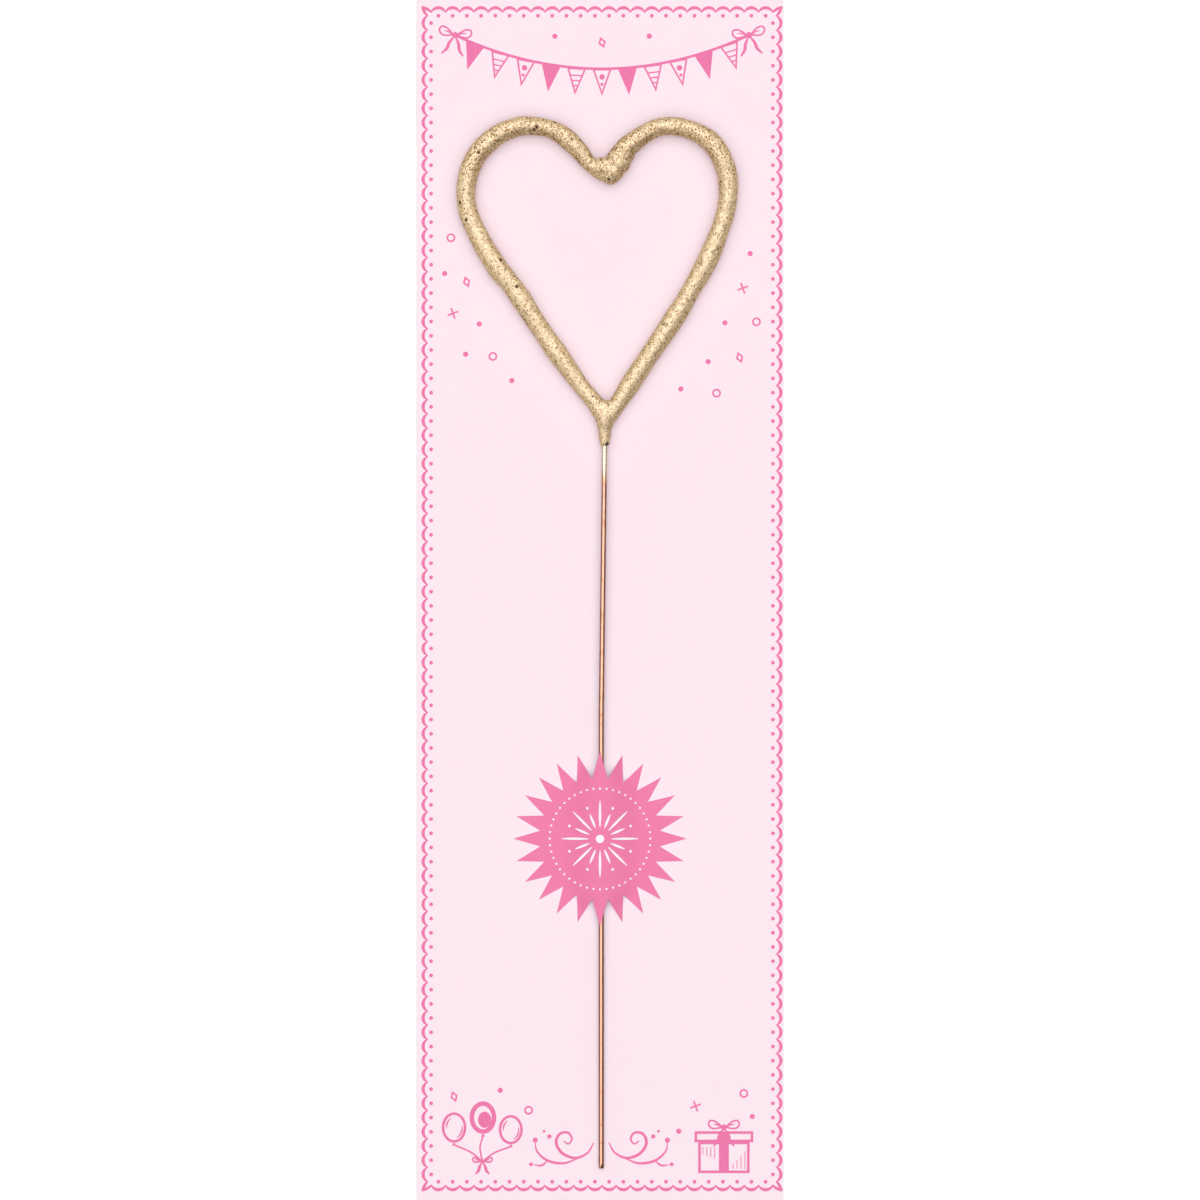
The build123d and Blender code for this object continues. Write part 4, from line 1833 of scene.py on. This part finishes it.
@dataclass
class StarburstSticker(SubAssembly):
    """The paper seal that holds the stem: 24 points, pressed down over the wire."""

    wand: SparklerWand
    tips: int = 24
    tip_radius: float = 16.5
    root_radius: float = 11.5
    paper: float = 0.12
    glue: float = 0.05
    glue_margin: float = 0.05
    # The glue lies between the paper and the card with this much room on each side.
    glue_room: float = 0.005
    # How far from the wire the paper comes down to the card, at its middle and at its rim.
    ridge_reach: float = 7.5
    rim_reach: float = 4.4
    rim_start: float = 9.0
    rim_end: float = 13.5
    wire_clearance: float = 0.08
    curl_start: float = 0.0
    curl_end: float = 6.0
    curl_step: float = 0.25
    # Where the sheet is divided, so that it can bend: across the ridge, beyond it and up the sticker.
    ridge_cuts: int = 54
    side_cut_gap: float = 0.5
    side_cut_end: float = 16.1
    side_cut_step: float = 0.8
    row_reach: float = 15.0
    row_end: float = 15.1
    row_step: float = 0.6
    cut_tolerance: float = 1e-4
    face_least_upright: float = 0.3
    crease_angle: float = 35.0
    ink: float = 0.02
    bead_ring: float = 9.6
    beads: int = 48
    bead_radius: float = 0.2
    spark_rays: int = 16
    ray_start: float = 2.3
    long_ray: float = 7.2
    short_ray: float = 5.0
    ray_points: int = 24
    ray_width: float = 0.46
    ray_thin_ends: float = 0.35
    ember_reach: float = 6.3
    ember_radius: float = 0.26
    core_radius: float = 0.8
    centre: Place = field(init=False)
    left: float = field(init=False)
    base: float = field(init=False)

    def __post_init__(self) -> None:
        """Read where the sticker lies from the frame."""
        low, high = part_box("starburst_sticker")
        self.centre = ((low.x + high.x) / 2 / MM, (low.y + high.y) / 2 / MM)
        self.left = low.x / MM
        self.base = low.z / MM

    def underside(self, place: Points) -> np.ndarray:
        """Height of the paper's underside, which bridges the wire.

        Args:
            place: points on the sticker, seen from above.

        Returns:
            The height at each point.
        """
        wand = self.wand
        wire_top = wand.height + wand.wire_diameter / 2 + (place[:, 1] - wand.stem_end) * math.tan(wand.tilt)
        up = np.abs(place[:, 1] - self.centre[1])
        rim = np.clip((up - self.rim_start) / (self.rim_end - self.rim_start), 0, 1)
        # The ridge narrows smoothly towards the sticker's rim.
        reach = self.ridge_reach + (self.rim_reach - self.ridge_reach) * rim ** 2 * (3 - 2 * rim)
        away = np.clip(np.abs(place[:, 0] - wand.stem_place) / reach, 0, 1)
        return self.base + (wire_top + self.wire_clearance - self.base) * (1 - away ** 2) ** 2

    def star(self, margin: float) -> Points:
        """The star's outline, with a tip straight up.

        Args:
            margin: how far it is drawn in.

        Returns:
            One row for each tip and root.
        """
        numbers = np.arange(2 * self.tips)
        turns = np.radians(90 + numbers * 180 / self.tips)
        # A sharp tip draws in further than a root.
        reach = np.where(numbers % 2 == 0, self.tip_radius - 2 * margin, self.root_radius - margin)
        return np.column_stack([reach * np.cos(turns), reach * np.sin(turns)]) + self.centre

    def divided(self, outline: Points) -> tuple[Points, Faces, Faces]:
        """Fill an outline with faces small enough to bend.

        Args:
            outline: the closed outline.

        Returns:
            The points, the faces and the boundary edges.
        """
        near = np.linspace(-self.ridge_reach, self.ridge_reach, self.ridge_cuts + 1) + self.wand.stem_place
        first_curl = self.left + self.curl_step
        last_curl = self.left + self.curl_end + 2 * self.curl_step
        curl = np.arange(first_curl, last_curl, self.curl_step)
        far = np.arange(self.ridge_reach + self.side_cut_gap, self.side_cut_end, self.side_cut_step)
        rows = self.centre[1] + np.arange(-self.row_reach, self.row_end, self.row_step)
        cuts = [((x, 0, 0), (1, 0, 0)) for x in (*near, *curl, *far)]
        cuts += [((0, y, 0), (0, 1, 0)) for y in rows]
        sheet = bmesh.new()
        sheet.faces.new([sheet.verts.new((x, y, 0.0)) for x, y in outline])
        for point, normal in cuts:
            everything = sheet.verts[:] + sheet.edges[:] + sheet.faces[:]
            bmesh.ops.bisect_plane(
                sheet, geom=everything, dist=self.cut_tolerance, plane_co=point, plane_no=normal)
        sheet.verts.index_update()
        place = np.array([corner.co[:2] for corner in sheet.verts])
        faces = [[corner.index for corner in face.verts] for face in sheet.faces]
        rim = [[corner.index for corner in edge.verts] for edge in sheet.edges if edge.is_boundary]
        sheet.free()
        return place, faces, rim

    def sheet(self, name: str, thickness: float, drop: float, margin: float) -> Piece:
        """Cut a star of even thickness and press it down over the wire.

        Args:
            name: the piece's name.
            thickness: how thick the sheet is.
            drop: how far its underside lies below the paper's.
            margin: how far it is cut inside the star.

        Returns:
            The closed sheet.
        """
        place, faces, rim = self.divided(self.star(margin))
        number = len(place)
        low = self.underside(place) - drop
        points = np.vstack([np.column_stack([place, low + thickness]), np.column_stack([place, low])])
        shell = faces + [[number + corner for corner in reversed(face)] for face in faces]
        shell += [[a, b, number + b, number + a] for a, b in rim]
        return make_piece(name, points, shell)

    def press(self, piece: Piece, slot: Slot, *nodes: str) -> None:
        """Hide the nodes that a piece stands for, report it and fix its place into its mesh.

        Args:
            piece: the object.
            slot: not used.
            nodes: the names of the nodes that it stands for.
        """
        self.claim(piece, slot, *nodes)
        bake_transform(piece)

    def build(self) -> None:
        """Make the paper, the glue under it and the print on it."""
        paper = self.sheet("sticker_paper", self.paper, 0.0, 0.0)
        self.dress(paper)
        self.press(paper, Slot.STICKER_PAPER, "starburst_sticker")
        thickness = self.glue - 2 * self.glue_room
        film = self.sheet("sticker_glue", thickness, self.glue - self.glue_room, self.glue_margin)
        film.data.materials.append(LABEL_GLUE.material())
        self.press(film, Slot.ADHESIVE, "sticker_adhesive")
        design = InkFilm(lambda place: self.underside(place) + self.paper, thickness=self.ink)
        self.spark(design)
        mark = design.piece("sticker_print")
        mark.data.materials.append(WHITE_INK.material())
        self.press(mark, Slot.STICKER_PAPER)

    def dress(self, paper: Piece) -> None:
        """Tint the face and leave the cut edge and the back white.

        Args:
            paper: the paper's sheet.
        """
        for finish in (LABEL_FACE, LABEL_EDGE):
            paper.data.materials.append(finish.material())
        front, plain = range(2)
        for face in paper.data.polygons:
            face.material_index = front if face.normal.z > self.face_least_upright else plain
        paper.data.shade_smooth()
        paper.data.set_sharp_from_angle(angle=math.radians(self.crease_angle))

    def spark(self, film: InkFilm) -> None:
        """Draw a burst of sparks inside a beaded ring.

        Args:
            film: the print.
        """
        film.move_to(*self.centre)
        for number in range(self.beads):
            film.disc(polar(self.bead_ring, number * 360 / self.beads), self.bead_radius)
        for number in range(self.spark_rays):
            bearing = 90 + number * 360 / self.spark_rays
            short = number % 2 == 1
            reaches = np.linspace(self.ray_start, self.short_ray if short else self.long_ray, self.ray_points)
            ray = np.array([polar(reach, bearing) for reach in reaches])
            film.stroke(ray, self.ray_width, self.ray_thin_ends)
            if short:
                film.disc(polar(self.ember_reach, bearing), self.ember_radius)
        film.disc((0.0, 0.0), self.core_radius)


@dataclass
class Studio:
    """The camera above the card, the pale floor and the soft light.

    Its lens and sensor are in millimetres, and its other sizes in metres.
    """

    lens: float = 200.0
    sensor: float = 36.0
    nearest: float = 0.05
    furthest: float = 20.0
    view_height: float = 0.2286
    white: str = "#FFFFFF"
    floor_size: float = 4.0
    floor_drop: float = 0.0002
    floor_colour: str = "#F7F7F7"
    floor_roughness: float = 0.9
    floor_glow: float = 0.2
    fill_colour: str = "#FFFAE6"
    fill_strength: float = 0.12
    softboxes: tuple[Softbox, ...] = (
        Softbox("key_softbox", (-0.05, 0.7, 1.7), 1.1, 3.6, "#FFFFF8", True),
        Softbox("top_softbox", (0.0, 0.0, 2.2), 4.0, 59.2, "#FFFBF5", True),
        Softbox("overhead_softbox", (0.0, 0.0, 2.1), 0.9, 12.0, "#DCE8FF", False),
    )
    flags: tuple[Flag, ...] = (
        Flag("flag_front", -68.0, 0.5, 0.7, 1.5),
        Flag("flag_left", 186.0, 0.5, 0.2, 0.28),
        Flag("flag_right", -6.0, 0.45, 0.16, 0.6),
    )
    flag_foot: float = 0.002
    flag_colour: str = "#241A10"
    flag_roughness: float = 0.95

    def build(self) -> None:
        """Set up everything that isn't the object."""
        self.camera()
        self.floor()
        self.world()
        for softbox in self.softboxes:
            self.lamp(softbox)
        self.stand_flags()
        bpy.context.scene.view_settings.view_transform = "Standard"

    def camera(self) -> None:
        """Look straight down on the card, which fills the frame's height."""
        lens = bpy.data.cameras.new("camera")
        lens.lens = self.lens
        lens.sensor_width = self.sensor
        lens.clip_start = self.nearest
        lens.clip_end = self.furthest
        camera = bpy.data.objects.new("camera", lens)
        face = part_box("backing_card")[1].z
        camera.location = (0.0, 0.0, face + self.view_height * self.lens / self.sensor)
        bpy.context.scene.collection.objects.link(camera)
        bpy.context.scene.camera = camera

    def lamp(self, softbox: Softbox) -> None:
        """Hang a softbox so that it faces the card.

        Args:
            softbox: its place, size, power and colour.
        """
        light = bpy.data.lights.new(softbox.name, "AREA")
        light.shape = "SQUARE"
        light.size = softbox.size
        light.energy = softbox.power
        light.color = linear(softbox.colour)[:3]
        lamp = bpy.data.objects.new(softbox.name, light)
        lamp.location = softbox.place
        lamp.rotation_euler = (-Vector(softbox.place)).to_track_quat("-Z", "Y").to_euler()
        lamp.visible_glossy = softbox.in_reflections
        bpy.context.scene.collection.objects.link(lamp)

    def seen(self, tree: Tree) -> Socket:
        """Tell rays that show the background, straight or in a reflection, from rays that light the object.

        Args:
            tree: the node tree that needs to know.

        Returns:
            The socket that gives 1 for rays that show the background, and 0 for the others.
        """
        path = add_node(tree, "ShaderNodeLightPath").outputs
        direct = add_node(tree, "ShaderNodeMath", {
            0: path["Is Camera Ray"], 1: path["Is Glossy Ray"]}, operation="MAXIMUM")
        either = add_node(tree, "ShaderNodeMath", {
            0: direct.outputs[0], 1: path["Is Transmission Ray"]}, operation="MAXIMUM")
        # A ray that has bounced off a matt surface lights the object, whatever it was before.
        first = add_node(tree, "ShaderNodeMath", {0: path["Diffuse Depth"], 1: 0.5}, operation="LESS_THAN")
        shown = add_node(tree, "ShaderNodeMath", {
            0: either.outputs[0], 1: first.outputs[0]}, operation="MULTIPLY")
        return shown.outputs[0]

    def floor(self) -> None:
        """Lay a white floor that keeps the card's shadow."""
        reach = self.floor_size / 2 / MM
        flat = panel(reach, -reach, reach)
        points = np.column_stack([flat, np.full(len(flat), -self.floor_drop / MM)])
        floor = make_piece("floor", points, [[0, 1, 2, 3]])
        # Sweep paper is matt and almost white, so it shows nothing but the card's shadow.
        material = bpy.data.materials.new("white_sweep_paper")
        material.use_nodes = True
        tree = material.node_tree
        glow = add_node(tree, "ShaderNodeMath", {
            0: self.seen(tree), 1: self.floor_glow}, operation="MULTIPLY")
        feed(tree.nodes["Principled BSDF"], {
            "Base Color": linear(self.floor_colour), "Roughness": self.floor_roughness,
            "Specular IOR Level": 0.0, "Emission Color": linear(self.white),
            "Emission Strength": glow.outputs[0]})
        floor.data.materials.append(material)

    def world(self) -> None:
        """Fill the shadows with even light and show white behind everything."""
        world = bpy.data.worlds.new("studio")
        world.use_nodes = True
        tree = world.node_tree
        fill = tree.nodes["Background"]
        feed(fill, {"Color": linear(self.fill_colour), "Strength": self.fill_strength})
        white = add_node(tree, "ShaderNodeBackground", {"Color": linear(self.white), "Strength": 1.0})
        shown = add_node(tree, "ShaderNodeMixShader", {
            0: self.seen(tree), 1: fill.outputs[0], 2: white.outputs[0]})
        feed(tree.nodes["World Output"], {"Surface": shown.outputs[0]})
        bpy.context.scene.world = world

    def stand_flags(self) -> None:
        """Stand dark flags outside the view, so that bright metal has dark edges to reflect."""
        # Felt swallows light, so metal shows it as a dark edge.
        material = bpy.data.materials.new("black_flag_felt")
        material.use_nodes = True
        feed(material.node_tree.nodes["Principled BSDF"], {
            "Base Color": linear(self.flag_colour), "Roughness": self.flag_roughness})
        for name, bearing, distance, half_width, height in self.flags:
            upright = panel(half_width / MM, self.flag_foot / MM, height / MM)
            points = np.column_stack([np.zeros(len(upright)), upright])
            flag = make_piece(name, points, [[0, 1, 2, 3]])
            flag.location = (*polar(distance, bearing), 0.0)
            flag.rotation_euler = (0.0, 0.0, math.radians(bearing))
            flag.visible_camera = False
            flag.visible_shadow = False
            flag.visible_diffuse = False
            flag.data.materials.append(material)


def main() -> None:
    """Build the sub-assemblies in order."""
    logging.basicConfig(level=logging.INFO, format="%(name)s: %(message)s")
    Studio().build()
    BackingCard(Body.CARD).build()
    CardPrint(Body.CARD).build()
    wand = SparklerWand(Body.WAND)
    wand.build()
    StarburstSticker(Body.STICKER, wand).build()


if __name__ == "__main__":
    main()
